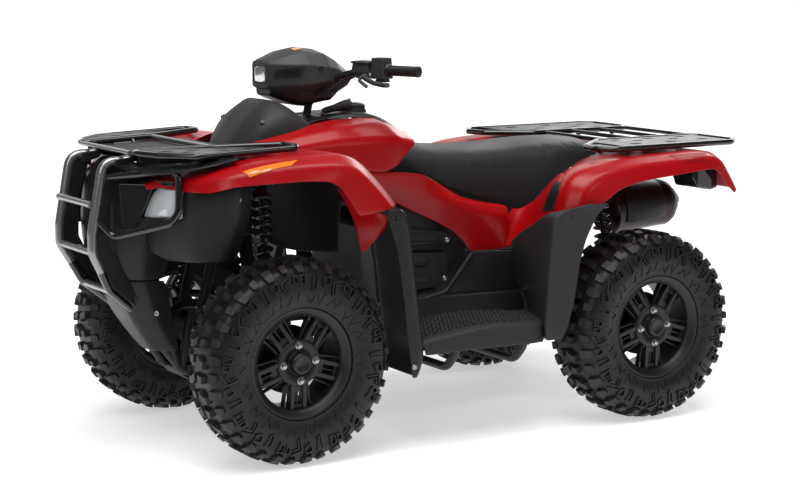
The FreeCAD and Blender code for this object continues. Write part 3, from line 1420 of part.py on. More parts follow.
hitch_low, hitch_high = spots([
    (-0.80956, -0.07947, 0.30607),
    (-0.6862, 0.07947, 0.31255),
])
hitch_wall = size("hitch_plate_wall")
hitch_top = spot(hitch_tube_shares).z - cross_radius - seat_gap
hitch_plate = Part.makeBox(hitch_high.x - hitch_low.x, hitch_high.y - hitch_low.y, hitch_wall,
                           Vector(hitch_low.x, hitch_low.y, hitch_top - hitch_wall))
hitch_hole = spot([(-0.78643, 0, 0.30931)][0])
hitch_hole.z = hitch_top
hitch_plate = hitch_plate.cut(upright_pin(hitch_hole, size("hitch_hole_radius"), hitch_wall * 6))
keep(node("hitch_plate", hitch_plate))

# Gear lever at the left of the tank.

lever_foot, lever_knee, lever_top = spots([
    (0.24364, 0.10265, 0.81296),
    (0.22513, 0.10265, 0.83725),
    (0.165, 0.10265, 0.84696),
])
lever_radius = size("lever_radius")
knob = size("lever_knob_radius")
lever_dir = lever_top - lever_knee
lever_dir.normalize()
lever = joined([rod(lever_foot, lever_knee + lever_dir * (lever_radius * 0.3), lever_radius),
                rod(lever_knee - lever_dir * (lever_radius * 0.5), lever_top, lever_radius * 0.95),
                rod(lever_top - lever_dir * knob, lever_top + lever_dir * knob, knob)])
lever = largest(lever.cut(tank_lid))
keep(node("gear_lever", lever))

# Handlebar, grips, instrument pod, lamp and controls turn with the stem.

bar_half = spots([
    (0.23516, 0.08278, 0.89717),
    (0.202, 0.21523, 0.92955),
    (0.17116, 0.35596, 0.94575),
    (0.11488, 0.66225, 0.94494),
])
bar_line = flipped(bar_half[::-1]) + bar_half
handlebar = tube(bar_line, size("bar_radius"), size("bar_bend"))
bar_middle = Vector(bar_half[0].x, 0, bar_half[0].z)
clamp = Part.makeBox(size("bar_radius") * 4, size("bar_radius") * 6, size("bar_radius") * 3,
                     bar_middle - Vector(size("bar_radius") * 2, size("bar_radius") * 3, size("bar_radius") * 1.5))
handlebar = joined([handlebar, clamp]).cut(steering_shaft)
keep(node("handlebar", handlebar))
grip_dir = bar_half[-1] - bar_half[-2]
grip_dir.normalize()
grip_end = bar_half[-1] + grip_dir * (size("bar_radius") * 0.4)
grip_start = bar_half[-1] - grip_dir * size("grip_length")
grip = rod(grip_start, grip_end, size("grip_radius")).cut(
    rod(bar_half[-2], bar_half[-1], size("bar_radius") + running))
keep(node("grips", both(grip)))
bar_room = tube(bar_line, size("bar_radius") + running, size("bar_bend"))
control_low = grip_start - grip_dir * (size("grip_radius") * 2.6)
control = rod(control_low, grip_start - grip_dir * seat_gap, size("grip_radius") * 1.25)
reservoir_low, reservoir_high = spots([
    (0.1542, 0.39073, 0.95223),
    (0.19275, 0.47351, 0.97814),
])
reservoir = Part.makeBox(reservoir_high.x - reservoir_low.x, reservoir_high.y - reservoir_low.y,
                         reservoir_high.z - reservoir_low.z, reservoir_low)
brake_lever = tube(spots([
    (0.16577, 0.41722, 0.94413),
    (0.20663, 0.49007, 0.94089),
    (0.17887, 0.63742, 0.93603),
]), lever_radius, size("loop_bend"))
controls = joined([control, reservoir, brake_lever]).cut(bar_room)
keep(node("bar_controls", both(controls)))

pod = x_solid(pod_shares, True)
stem_room = rod(stem_low, stem_high + stem_dir * (size("bar_radius") * 2), stem_radius + seat_gap)
pod_bar_room = tube(bar_line, size("bar_radius") + seat_gap, size("bar_bend"))
clamp_room = Part.makeBox(size("bar_radius") * 4 + seat_gap * 2, size("bar_radius") * 6 + seat_gap * 2,
                          size("bar_radius") * 3 + seat_gap * 2,
                          bar_middle - Vector(size("bar_radius") * 2 + seat_gap,
                                              size("bar_radius") * 3 + seat_gap,
                                              size("bar_radius") * 1.5 + seat_gap))
pod = pod.cut(stem_room).cut(pod_bar_room).cut(clamp_room)
lamp_low, lamp_high = spots([
    (0.36854, -0.07616, 0.91012),
    (0.38319, 0.07616, 0.95223),
])
pod_lamp = Part.makeBox(lamp_high.x - lamp_low.x, lamp_high.y - lamp_low.y, lamp_high.z - lamp_low.z, lamp_low)
pod = pod.cut(pod_lamp)
keep(node("head_pod", pod))
keep(node("pod_lamp", pod_lamp))

# Everything is checked before it is written.

doc.recompute()
os.makedirs("parts", exist_ok=True)
for thing in doc.Objects:
    if "Invalid" in thing.State or "Error" in thing.State:
        raise RuntimeError("this object failed: " + thing.Label)
failed = [p.Label for p in nodes if p.Shape.isNull() or not p.Shape.isValid()]
if failed:
    raise RuntimeError("these pieces are not valid: " + ", ".join(failed))
for piece in nodes:
    piece.Shape.exportStep("parts/%s.step" % piece.Label)
    print(piece.Label, len(piece.Shape.Solids), "solids", round(piece.Shape.Volume / 1000), "cc")
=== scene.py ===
# %% [markdown]
# # A utility quad bike, dressed for its portrait
# The metal frame, the joints and every main form come from a CAD model that is loaded as it
# stands. This notebook adds what a camera would see up close: knobbly tyres, smooth moulded
# panels, a padded seat, racks of bent tube, lamps and the finishes of each material.

import math
import random

import bmesh
import bpy
from mathutils import Matrix, Vector
from mathutils.bvhtree import BVHTree


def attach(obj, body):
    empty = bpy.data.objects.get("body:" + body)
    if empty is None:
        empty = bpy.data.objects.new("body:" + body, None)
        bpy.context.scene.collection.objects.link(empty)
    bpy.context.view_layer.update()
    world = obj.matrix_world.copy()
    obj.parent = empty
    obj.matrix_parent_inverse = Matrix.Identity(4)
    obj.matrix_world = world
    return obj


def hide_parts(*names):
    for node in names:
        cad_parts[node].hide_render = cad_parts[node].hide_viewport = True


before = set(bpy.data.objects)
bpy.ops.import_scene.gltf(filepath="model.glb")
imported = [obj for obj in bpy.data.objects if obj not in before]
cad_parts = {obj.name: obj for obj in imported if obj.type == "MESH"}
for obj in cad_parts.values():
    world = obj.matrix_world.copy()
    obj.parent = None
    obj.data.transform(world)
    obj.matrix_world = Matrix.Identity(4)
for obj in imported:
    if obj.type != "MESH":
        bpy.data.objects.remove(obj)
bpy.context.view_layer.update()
SIDES = ((1, "left"), (-1, "right"))


def new_object(name, data):
    """Makes an object and links it to the scene."""
    thing = bpy.data.objects.new(name, data)
    bpy.context.scene.collection.objects.link(thing)
    return thing

# %% [markdown]
# The photograph was taken from the machine's left and front, a little above the racks, with a
# long lens. A long lens flattens depth, so the camera stands nearly seven metres away. Setting
# the lens as a number and aiming by two angles keeps the view easy to change.

# %% Camera
lens_length = 90.02
camera_place = (3.4199, 5.6899, 1.5306)
heading = math.radians(-121.21)
dip = math.radians(8.29)
camera_data = bpy.data.cameras.new("portrait_camera")
camera_data.lens = lens_length
camera_data.sensor_width = 36.0
camera_data.clip_end = 100.0
camera = new_object("portrait_camera", camera_data)
camera.location = camera_place
aim = Vector((math.cos(heading) * math.cos(dip), math.sin(heading) * math.cos(dip), -math.sin(dip)))
camera.rotation_euler = aim.to_track_quat("-Z", "Y").to_euler()
bpy.context.scene.camera = camera
print("camera looks along", tuple(round(part, 3) for part in aim))

# %% [markdown]
# A finish is a small network of shader nodes. Real surfaces are never one flat value: a noise
# drives a slight change of roughness and colour, and a finer noise gives the bump of moulded
# grain. One helper builds that family, and each finish below only names its own numbers.

# %% Helper for finishes
finishes = {}


def grey(value):
    return (value, value, value)


def set_inputs(node, values):
    """Fills in a node's inputs by their names or numbers."""
    for name, value in values.items():
        node.inputs[name].default_value = value


def finish_material(name, colour, roughness, second=None, rough_swing=0.08, grain=0.0, grain_scale=900.0,
                    blotch_scale=6.0, metallic=0.0, coat=0.0, coat_roughness=0.05, wear=None, mirror=0.35):
    """A procedural finish: blotchy colour, uneven roughness, fine grain and worn edges."""
    material = bpy.data.materials.new(name)
    material.use_nodes = True
    nodes = material.node_tree.nodes
    links = material.node_tree.links
    shader = nodes["Principled BSDF"]
    set_inputs(shader, {"Metallic": metallic, "Specular IOR Level": mirror, "Coat Weight": coat,
                        "Coat Roughness": coat_roughness})
    place = nodes.new("ShaderNodeTexCoord")
    blotch = nodes.new("ShaderNodeTexNoise")
    set_inputs(blotch, {"Scale": blotch_scale, "Detail": 6.0})
    links.new(place.outputs["Object"], blotch.inputs["Vector"])
    tint = nodes.new("ShaderNodeMix")
    tint.data_type = "RGBA"
    set_inputs(tint, {6: (*colour, 1.0), 7: (*(second or [part * 0.86 for part in colour]), 1.0)})
    links.new(blotch.outputs["Fac"], tint.inputs[0])
    colour_out = tint.outputs[2]
    rough = nodes.new("ShaderNodeMapRange")
    set_inputs(rough, {"From Min": 0.3, "From Max": 0.7, "To Min": max(roughness - rough_swing, 0.02),
                       "To Max": min(roughness + rough_swing, 1.0)})
    links.new(blotch.outputs["Fac"], rough.inputs["Value"])
    links.new(rough.outputs["Result"], shader.inputs["Roughness"])
    if wear:
        edge = nodes.new("ShaderNodeNewGeometry")
        band = nodes.new("ShaderNodeMapRange")
        set_inputs(band, {"From Min": 0.52, "From Max": 0.62, "To Max": 0.55})
        links.new(edge.outputs["Pointiness"], band.inputs["Value"])
        rub = nodes.new("ShaderNodeMix")
        rub.data_type = "RGBA"
        set_inputs(rub, {7: (*wear, 1.0)})
        links.new(band.outputs["Result"], rub.inputs[0])
        links.new(colour_out, rub.inputs[6])
        colour_out = rub.outputs[2]
    links.new(colour_out, shader.inputs["Base Color"])
    if grain:
        fine = nodes.new("ShaderNodeTexNoise")
        set_inputs(fine, {"Scale": grain_scale, "Detail": 2.0})
        links.new(place.outputs["Object"], fine.inputs["Vector"])
        bump = nodes.new("ShaderNodeBump")
        set_inputs(bump, {"Strength": grain, "Distance": 0.001})
        links.new(fine.outputs["Fac"], bump.inputs["Height"])
        links.new(bump.outputs["Normal"], shader.inputs["Normal"])
    finishes[name] = material
    return material


print("finish helper ready")

# %% [markdown]
# The finishes of this machine. The fenders are red plastic under a clear gloss, the mudguards
# are unpainted charcoal plastic with a fine moulded grain, and the tubes are powder coated.

# %% Finishes
gloss_red = finish_material("gloss_red", (0.36, 0.0012, 0.0035), 0.34, (0.32, 0.0010, 0.003), 0.05,
                            grain=0.02, grain_scale=300.0, coat=0.10, coat_roughness=0.10, mirror=0.22)
charcoal = finish_material("charcoal_plastic", grey(0.026), 0.52, grey(0.021), 0.06,
                           grain=0.22, grain_scale=1100.0, wear=grey(0.05), mirror=0.25)
black_plastic = finish_material("black_plastic", grey(0.011), 0.38, grey(0.008), 0.07,
                                grain=0.12, grain_scale=1300.0, wear=grey(0.03), mirror=0.25)
pod_plastic = finish_material("pod_plastic", grey(0.036), 0.50, grey(0.030), 0.06,
                              grain=0.14, grain_scale=1200.0, mirror=0.3)
seat_vinyl = finish_material("seat_vinyl", grey(0.019), 0.50, grey(0.015), 0.07,
                             grain=0.35, grain_scale=700.0, mirror=0.2)
tyre_rubber = finish_material("tyre_rubber", grey(0.008), 0.42, grey(0.006), 0.08,
                              grain=0.22, grain_scale=420.0, blotch_scale=14.0, wear=grey(0.022),
                              mirror=0.32)
rim_paint = finish_material("rim_paint", grey(0.009), 0.36, grey(0.007), 0.08,
                            grain=0.10, grain_scale=1500.0, wear=grey(0.03))
tube_gloss = finish_material("tube_gloss_black", grey(0.008), 0.20, grey(0.006), 0.05,
                             grain=0.05, grain_scale=700.0, coat=0.7, coat_roughness=0.08)
# painted reflection: light grey metal that stands for the studio's shine on gloss black tube, used on the
# guard's uprights and cross bars and the front rack's bars
tube_painted_reflection = finish_material("tube_bright_grey", (0.30, 0.30, 0.31), 0.30, (0.24, 0.24, 0.25), 0.06,
                              grain=0.05, grain_scale=700.0, metallic=0.85, coat=0.4, coat_roughness=0.1)
frame_paint = finish_material("frame_paint", grey(0.010), 0.42, (0.013, 0.013, 0.012), 0.10,
                              grain=0.12, grain_scale=600.0, wear=grey(0.04))
cast_alloy = finish_material("cast_alloy", (0.040, 0.040, 0.041), 0.52, (0.03, 0.03, 0.031), 0.10,
                             grain=0.35, grain_scale=260.0, metallic=0.6, wear=grey(0.12))
bright_steel = finish_material("bright_steel", (0.42, 0.42, 0.43), 0.30, (0.34, 0.34, 0.35), 0.08,
                               grain=0.06, grain_scale=900.0, metallic=1.0)
exhaust_steel = finish_material("exhaust_steel", (0.060, 0.050, 0.048), 0.42, (0.035, 0.030, 0.029), 0.12,
                                grain=0.08, grain_scale=400.0, metallic=0.9)
amber = finish_material("amber_reflector", (0.80, 0.24, 0.02), 0.22, (0.70, 0.17, 0.012), 0.05,
                        grain=0.5, grain_scale=260.0, coat=0.6)
red_lens = finish_material("red_lens", (0.30, 0.003, 0.003), 0.22, (0.22, 0.002, 0.002), 0.05,
                           grain=0.4, grain_scale=260.0, coat=0.7)
# painted shade: a darker copy of the fender's red, for the shadowed inside of the tail recess
deep_red = finish_material("deep_red", (0.28, 0.003, 0.006), 0.45, (0.22, 0.002, 0.004), 0.05, grain=0.1,
                           grain_scale=500.0, mirror=0.2)
print(len(finishes), "finishes")

# %% [markdown]
# Clear lenses are glass over a bright bowl. Real glass would need light to find its way through
# two walls, which is slow and noisy, so a thin clear lens is a mix of a see-through and a
# glossy shader, and the bowl behind it is bright metal.

# %% Clear lens and lamp bowl
clear_lens = bpy.data.materials.new("clear_lens")
clear_lens.use_nodes = True
lens_nodes = clear_lens.node_tree.nodes
lens_links = clear_lens.node_tree.links
lens_shader = lens_nodes["Principled BSDF"]
set_inputs(lens_shader, {"Base Color": (0.92, 0.95, 0.97, 1.0), "Roughness": 0.04, "Alpha": 0.28,
                         "Coat Weight": 1.0})
lens_ribs = lens_nodes.new("ShaderNodeTexWave")
set_inputs(lens_ribs, {"Scale": 60.0})
lens_place = lens_nodes.new("ShaderNodeTexCoord")
lens_links.new(lens_place.outputs["Object"], lens_ribs.inputs["Vector"])
lens_bump = lens_nodes.new("ShaderNodeBump")
set_inputs(lens_bump, {"Strength": 0.08, "Distance": 0.001})
lens_links.new(lens_ribs.outputs["Fac"], lens_bump.inputs["Height"])
lens_links.new(lens_bump.outputs["Normal"], lens_shader.inputs["Normal"])
lamp_bowl = finish_material("lamp_bowl", (0.82, 0.84, 0.86), 0.12, (0.70, 0.72, 0.75), 0.06,
                            grain=0.3, grain_scale=120.0, metallic=0.9)
print("lens and bowl ready")

# %% [markdown]
# Nearly every piece is a mesh made from a short list of points. These helpers turn lists into
# objects: a sheet of quads that is thickened and smoothed, a bent tube, a turned ring, and a
# mirrored twin for the other side. Keeping the points few leaves the smoothing to Blender's
# subdivision, which is how a modeller would work by hand. Long lists of points are given in
# whole millimetres, which read more easily than metres with three decimals.

# %% Helpers that make pieces
ACROSS, LENGTHWAYS, LEVEL = 0, 1, 2


def mm(points, side=1):
    """Points given in millimetres; the side multiplies the second number of each."""
    return [(first / 1000, second / 1000 * side, *[part / 1000 for part in rest])
            for first, second, *rest in points]


def mm_rows(rows):
    """Rows of points given in millimetres."""
    return [mm(row) for row in rows]


def cuts(table, unit=1000):
    """Cuts given in millimetres, each as its place and a list of pairs of numbers."""
    return [(*[part / 1000 for part in places], [(a / 1000, b / unit) for a, b in pairs])
            for *places, pairs in table]


def whole_row(row):
    """A left half row and its mirrored right half."""
    return row + [Vector((p.x, -p.y, p.z)) for p in reversed(row) if p.y > 0]


def cut_rows(table, way, whole=False):
    """Rows of points from flat cuts across the machine, lengthways or level."""
    rows = [[Vector((*pair[:way], place, *pair[way:])) for pair in line] for place, line in table]
    return [whole_row(row) for row in rows] if whole else rows


def ring_faces(shape, rings, closed=True):
    """Quads between rings, or open rows, of points that follow each other."""
    size = len(rings[0])
    made = []
    for here, there in zip(rings, rings[1:]):
        for k in range(size if closed else size - 1):
            after = (k + 1) % size
            made.append(shape.faces.new((here[k], here[after], there[after], there[k])))
    return made


def mesh_from(name, shape, faces=None):
    """Turns a bmesh into a mesh whose faces look outwards."""
    bmesh.ops.recalc_face_normals(shape, faces=faces or shape.faces)
    mesh = bpy.data.meshes.new(name)
    shape.to_mesh(mesh)
    shape.free()
    return mesh


def place_piece(name, mesh, material, body, smooth=True):
    """Links a mesh as a piece that rides on a body."""
    piece = new_object(name, mesh)
    mesh.materials.append(material)
    if smooth:
        for face in mesh.polygons:
            face.use_smooth = True
    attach(piece, body)
    return piece


def mesh_of(name, points, faces):
    """A mesh from points and faces."""
    mesh = bpy.data.meshes.new(name)
    mesh.from_pydata([tuple(point) for point in points], [], faces)
    mesh.update()
    return mesh


def crease_edges(mesh, pick, amount):
    """Sharpens the edges whose two points both pass the test."""
    layer = mesh.attributes.get("crease_edge") or mesh.attributes.new("crease_edge", "FLOAT", "EDGE")
    for edge in mesh.edges:
        if pick(edge.vertices[0], edge.vertices[1]):
            layer.data[edge.index].value = amount


def sheet_grid(rows):
    """Points and quads of a grid given as rows of equal length."""
    width = len(rows[0])
    points = [point for row in rows for point in row]
    faces = []
    for row in range(len(rows) - 1):
        for column in range(width - 1):
            first = row * width + column
            faces.append((first, first + 1, first + width + 1, first + width))
    return points, faces, width


def moulded_panel(name, rows, material, body, slot_name, wall=0.004, sharp=(), sharpness=0.7, inward=True):
    """A moulded sheet: a grid thickened inwards, smoothed, with some columns kept sharp."""
    points, faces, width = sheet_grid(rows)
    mesh = mesh_of(name, points, faces)
    crease_edges(mesh, lambda a, b: a % width == b % width and a % width in sharp, sharpness)
    piece = place_piece(name, mesh, material, body)
    thick = piece.modifiers.new("wall", "SOLIDIFY")
    thick.thickness = wall
    thick.offset = -1.0 if inward else 1.0
    thick.use_even_offset = True
    thick.edge_crease_rim = 0.8
    smooth = piece.modifiers.new("smooth", "SUBSURF")
    smooth.levels = smooth.render_levels = 2
    return piece


def other_side(rows):
    """The same rows on the right of the machine, in the order that keeps faces outward."""
    return [[Vector((p[0], -p[1], p[2])) for p in reversed(row)] for row in rows]


def panel_pair(name, rows, *args, **facts):
    """A moulded panel on the left and its twin on the right."""
    return [moulded_panel(name + "_left", rows, *args, **facts),
            moulded_panel(name + "_right", other_side(rows), *args, **facts)]


def add_line(curve, points, closed):
    """Adds straight runs through points to a curve."""
    spline = curve.splines.new("POLY")
    spline.points.add(len(points) - 1)
    for knot, point in zip(spline.points, points):
        knot.co = (*point, 1.0)
    spline.use_cyclic_u = closed
    return spline


def curve_mesh(name, curve):
    """The mesh of a curve, which isn't kept."""
    helper = new_object(name + "_line", curve)
    bpy.context.view_layer.update()
    mesh = bpy.data.meshes.new_from_object(helper.evaluated_get(bpy.context.evaluated_depsgraph_get()))
    bpy.data.objects.remove(helper)
    return mesh


def bent_tube(name, routes, radius, material, body, bend=0.03, closed=False, sides=12):
    """One mesh of tubes along routes of points, their corners rounded by arcs."""
    curve = bpy.data.curves.new(name, "CURVE")
    curve.dimensions = "3D"
    curve.bevel_depth = radius
    curve.bevel_resolution = max((sides - 4) // 4, 1)
    curve.use_fill_caps = not closed
    for route in routes:
        line = rounded_route([Vector(point) for point in route], bend, closed)
        add_line(curve, line, closed).use_smooth = True
    return place_piece(name, curve_mesh(name, curve), material, body)


def rounded_route(points, bend, closed):
    """Replaces each corner of a route by an arc of six steps."""
    count = len(points)
    result = []
    for number, corner in enumerate(points):
        if not closed and number in (0, count - 1):
            result.append(corner)
            continue
        back = points[number - 1] - corner
        ahead = points[(number + 1) % count] - corner
        turn = math.pi - back.angle(ahead)
        if turn < 0.02:
            result.append(corner)
            continue
        cut = min(bend * math.tan(turn / 2), back.length * 0.48, ahead.length * 0.48)
        start = corner + back.normalized() * cut
        stop = corner + ahead.normalized() * cut
        for step in range(7):
            part = step / 6
            near = start.lerp(corner, part)
            far = corner.lerp(stop, part)
            result.append(near.lerp(far, part))
    return result


def mirrored(routes):
    """Routes and their twins on the right."""
    return routes + [[(x, -y, z) for x, y, z in route] for route in routes]


def laid_plate(name, target, corners, toward, lift, material, body, across=10, up=4, depth=0.002):
    """A thin plate: four corners are looked at along a direction and laid on a piece's surface."""
    bpy.context.view_layer.update()
    tree = BVHTree.FromObject(target, bpy.context.evaluated_depsgraph_get())
    toward = Vector(toward).normalized()
    a, b, c, d = [Vector(corner) for corner in corners]
    high = []
    low = []
    for row in range(up + 1):
        for column in range(across + 1):
            spot = a.lerp(b, column / across).lerp(d.lerp(c, column / across), row / up)
            place, normal, number, far = tree.ray_cast(spot - toward * 0.25, toward, 0.5)
            if place is None:
                place, normal = spot, -toward
            if normal.dot(toward) > 0:
                normal = -normal
            high.append(place + normal * lift)
            low.append(place - normal * depth)
    shape = bmesh.new()
    top = [shape.verts.new(p) for p in high]
    under = [shape.verts.new(p) for p in low]
    wide = across + 1
    for row in range(up):
        for k in range(row * wide, row * wide + across):
            shape.faces.new((top[k], top[k + 1], top[k + wide + 1], top[k + wide]))
            shape.faces.new((under[k + wide], under[k + wide + 1], under[k + 1], under[k]))
    border = (list(range(wide)) + [row * wide + across for row in range(1, up + 1)]
              + [up * wide + column for column in range(across - 1, -1, -1)]
              + [row * wide for row in range(up - 1, 0, -1)])
    for here, there in zip(border, border[1:] + border[:1]):
        shape.faces.new((top[there], top[here], under[here], under[there]))
    return place_piece(name, mesh_from(name, shape), material, body, smooth=False)


print("helpers ready")

# %% [markdown]
# The tyre is the most worked surface of the machine. Its carcass is a profile turned about the
# axle. The lugs are raised shapes laid on that carcass: each is drawn flat, as a distance round
# the tyre and a distance across it, and then wrapped onto the profile. Drawing them flat is the
# way a tyre maker draws a tread, and it makes staggered patterns easy.

# %% Wheel sizes and the turned profile
wheels = {
    "front": dict(axle=0.632, track=0.446, radius=0.317, half=0.101, rim_half=0.080),
    "rear": dict(axle=-0.665, track=0.488, radius=0.313, half=0.116, rim_half=0.095),
}
bead_radius = 0.1713
lug_rise = 0.016
tread_pitches = 18
spoke_count = 5
nut_count = 4
nut_circle = 0.0545
disc_slots = 15


def smooth_line(points, steps):
    """A soft curve through points, as (steps) short runs between each pair."""
    result = []
    for number in range(len(points) - 1):
        before = Vector(points[max(number - 1, 0)])
        first = Vector(points[number])
        second = Vector(points[number + 1])
        after = Vector(points[min(number + 2, len(points) - 1)])
        for step in range(steps):
            t = step / steps
            result.append(0.5 * (2 * first + (second - before) * t
                                 + (2 * before - 5 * first + 4 * second - after) * t * t
                                 + (3 * first - before - 3 * second + after) * t ** 3))
    result.append(Vector(points[-1]))
    return result


def tyre_profile(radius, half):
    """Half of the carcass from crown to bead, as (across, radius) points."""
    crown = radius - lug_rise
    rise = crown - bead_radius
    return smooth_line([
        (0.0, crown), (half * 0.36, crown - 0.001), (half * 0.60, crown - 0.004),
        (half * 0.76, crown - 0.012), (half * 0.86, crown - rise * 0.20),
        (half * 0.915, crown - rise * 0.36), (half * 0.935, crown - rise * 0.54),
        (half * 0.925, crown - rise * 0.70),
        (half * 0.885, bead_radius + rise * 0.16), (half * 0.86, bead_radius + rise * 0.07),
        (half * 0.85, bead_radius + 0.0015), (half * 0.80, bead_radius)], 3)


def turned_mesh(target, profile, steps, closed=False):
    """Adds a profile turned about the Y axle to a bmesh and returns its faces."""
    rings = []
    for step in range(steps):
        turn = 2 * math.pi * step / steps
        rings.append([target.verts.new((r * math.sin(turn), y, r * math.cos(turn))) for y, r in profile])
    return ring_faces(target, rings + rings[:1], closed)


print("front carcass points", len(tyre_profile(0.317, 0.101)))

# %% [markdown]
# A lug is a strip between two lines, with its top a little smaller than its foot, as rubber
# comes out of a mould. A thin raised mark on the sidewall is the same strip, only narrow, drawn
# along a bent line. One helper makes both.

# %% Lugs and raised marks
class Wrap:
    """Places flat points (round, across, lift) on a tyre's profile."""

    def __init__(self, profile, crown):
        self.line = profile
        self.crown = crown
        self.reach = [0.0]
        for a, b in zip(profile, profile[1:]):
            self.reach.append(self.reach[-1] + (b - a).length)

    def point(self, around, across, lift, side):
        across = min(max(across, 0.0), self.reach[-1] - 1e-6)
        k = max(i for i in range(len(self.reach) - 1) if self.reach[i] <= across)
        part = (across - self.reach[k]) / (self.reach[k + 1] - self.reach[k])
        spot = self.line[k].lerp(self.line[k + 1], part)
        run = (self.line[k + 1] - self.line[k]).normalized()
        out = Vector((-run.y, run.x))
        if out.y < 0 and k < 3:
            out = -out
        spot = spot + out * lift
        turn = around / self.crown
        return Vector((spot.y * math.sin(turn), spot.x * side, spot.y * math.cos(turn)))


def raised_strip(target, wrap, side, left, right, lift, slope, foot=-0.002):
    """A raised strip between two flat lines of equal length, each point (round, across)."""
    rows = []
    count = len(left)
    for number in range(count):
        a = Vector(left[number])
        b = Vector(right[number])
        inward = (b - a).normalized() * min(slope, (b - a).length * 0.3)
        along = Vector((0, 0))
        if number == 0:
            along = (Vector(left[1]) - a).normalized() * slope
        elif number == count - 1:
            along = (Vector(left[-2]) - a).normalized() * slope
        high_a = a + inward + along
        high_b = b - inward + along
        rows.append([target.verts.new(wrap.point(p.x, p.y, h, side))
                     for p, h in ((a, foot), (high_a, lift), (high_b, lift), (b, foot))])
    ring_faces(target, rows, closed=False)
    target.faces.new(rows[0])
    target.faces.new(rows[-1])


def raised_mark(target, wrap, side, line, width, lift):
    """A narrow raised line along flat points."""
    points = [Vector(point) for point in line]
    left = []
    right = []
    for number, point in enumerate(points):
        back = (point - points[number - 1]).normalized() if number else None
        ahead = (points[number + 1] - point).normalized() if number < len(points) - 1 else None
        run = (back or ahead) + (ahead or back)
        run.normalize()
        across = Vector((-run.y, run.x)) * (width / 2)
        if back and ahead:
            across = across / max(run.dot(ahead), 0.5)
        left.append(point + across)
        right.append(point - across)
    raised_strip(target, wrap, side, left, right, lift, width * 0.2, foot=-0.001)


def raised_loop(target, wrap, side, line, width, lift):
    """A raised outline: a closed mark round the middle of a small block."""
    line = [Vector(point) for point in line]
    first = line[0].lerp(line[1], 0.5)
    raised_mark(target, wrap, side, [first] + line[1:] + [line[0], first], width, lift)


print("lug helpers ready")

# %% [markdown]
# Each pitch of the tread has a pair of angled blocks near the crown and two blocks on each
# shoulder. Below them come outlined blocks and raised marks bent like a V or a U, and thin
# zigzags nearer the rim. The two sides are half a pitch apart, so that the blocks stagger.

# %% Tyres
# marks of the sidewall, in millimetres from the start of a pitch and from the foot of the
# shoulder blocks, with their width and lift
wide_marks = (
    (raised_loop, [(-4, 0), (0, 30), (18, 24), (17, 2)], 5.4, 7.7),
    (raised_loop, [(26, 3), (28, 24), (44, 19), (41, 1)], 5.2, 7.3),
    (raised_mark, [(54, -4), (92, 12), (78, 50)], 6.2, 7.3),
    (raised_mark, [(56, 10), (79, 18), (68, 44)], 5.0, 6.6),
    (raised_mark, [(20, 50), (32, 78), (56, 58), (80, 84)], 4.2, 3.4),
)
narrow_marks = (
    (raised_loop, [(4, 0), (-2, 18), (20, 30), (28, 8)], 5.4, 7.7),
    (raised_mark, [(50, 0), (54, 42), (68, 45), (70, 4)], 5.2, 7.0),
    (raised_mark, [(0, 46), (16, 84), (36, 56)], 4.4, 3.6),
    (raised_mark, [(50, 60), (64, 88), (82, 66)], 4.0, 3.2),
)


def tread_blocks(base, edge, jog):
    """The blocks of a pitch as (left line, right line, lift, slope): a crown pair, then the shoulder."""
    def crown_line(points):
        return [(base + a, b) for a, b in mm(points)]

    return (
        (crown_line([(4, 4), (18, 26), (20, 46)]), crown_line([(30, 4), (44, 26), (44, 46)]), 0.0155, 0.002),
        (crown_line([(60, 14), (64, 40)]), crown_line([(84, 10), (88, 36)]), 0.0155, 0.002),
        ([(base - 0.004, edge * 0.74), (base - 0.002, edge * 0.96), (base + 0.002 + jog, edge + 0.016)],
         [(base + 0.026, edge * 0.70), (base + 0.030, edge * 0.96), (base + 0.026 + jog, edge + 0.014)],
         0.0135, 0.0022),
        ([(base + 0.050, edge * 0.76), (base + 0.052, edge), (base + 0.056, edge + 0.008)],
         [(base + 0.076, edge * 0.80), (base + 0.078, edge), (base + 0.074, edge + 0.008)], 0.0125, 0.0022),
    )


def tyre_mesh(name, radius, half):
    """A tyre: the turned carcass with its tread blocks, side marks and two bead rings."""
    profile = tyre_profile(radius, half)
    crown = radius - lug_rise
    wrap = Wrap(profile, crown)
    shape = bmesh.new()
    full = [Vector((-p.x, p.y)) for p in reversed(profile[1:])] + profile
    for face in turned_mesh(shape, full, 108):
        face.smooth = True
    pitch = 2 * math.pi * crown / tread_pitches
    edge = half * 0.80
    top = edge + 0.020
    rng = random.Random(7)
    for number in range(tread_pitches):
        for side in (1, -1):
            base = pitch * (number + (0.5 if side < 0 else 0.0))
            jog = rng.uniform(-0.001, 0.001)
            for left, right, lift, slope in tread_blocks(base, edge, jog):
                raised_strip(shape, wrap, side, left, right, lift, slope)
            for draw, line, width, lift in wide_marks if number % 2 == 0 else narrow_marks:
                points = [(base + around, top + down) for around, down in mm(line)]
                draw(shape, wrap, side, points, width / 1000, lift / 1000)
    for spot in (0.020, 0.028):
        ring = [(half * 0.875 - spot * 0.1, bead_radius + spot), (half * 0.898, bead_radius + spot + 0.0012),
                (half * 0.875 - spot * 0.05, bead_radius + spot + 0.0024)]
        for sign in (1, -1):
            for face in turned_mesh(shape, [(sign * y, r) for y, r in ring], 96):
                face.smooth = True
    return mesh_from(name, shape, [face for face in shape.faces if not face.smooth])


def wheel_place(kind, side):
    """Where a wheel sits; the right one is turned about, so that its outside faces out."""
    facts = wheels[kind]
    spot = Vector((facts["axle"], side * facts["track"], facts["radius"]))
    turn = 0.0 if side > 0 else math.pi
    return Matrix.Translation(spot) @ Matrix.Rotation(turn, 4, "Z")


def wheel_pieces(what, material, build):
    """Builds a wheel piece for each axle and places it at both sides."""
    made = []
    for kind, facts in wheels.items():
        mesh = build(kind, facts)
        mesh.materials.append(material)
        for side, word in SIDES:
            piece = new_object("%s_%s_%s" % (what, kind, word), mesh)
            piece.matrix_world = wheel_place(kind, side)
            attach(piece, "wheel_%s_%s" % (kind, word))
            made.append(piece)
    return made


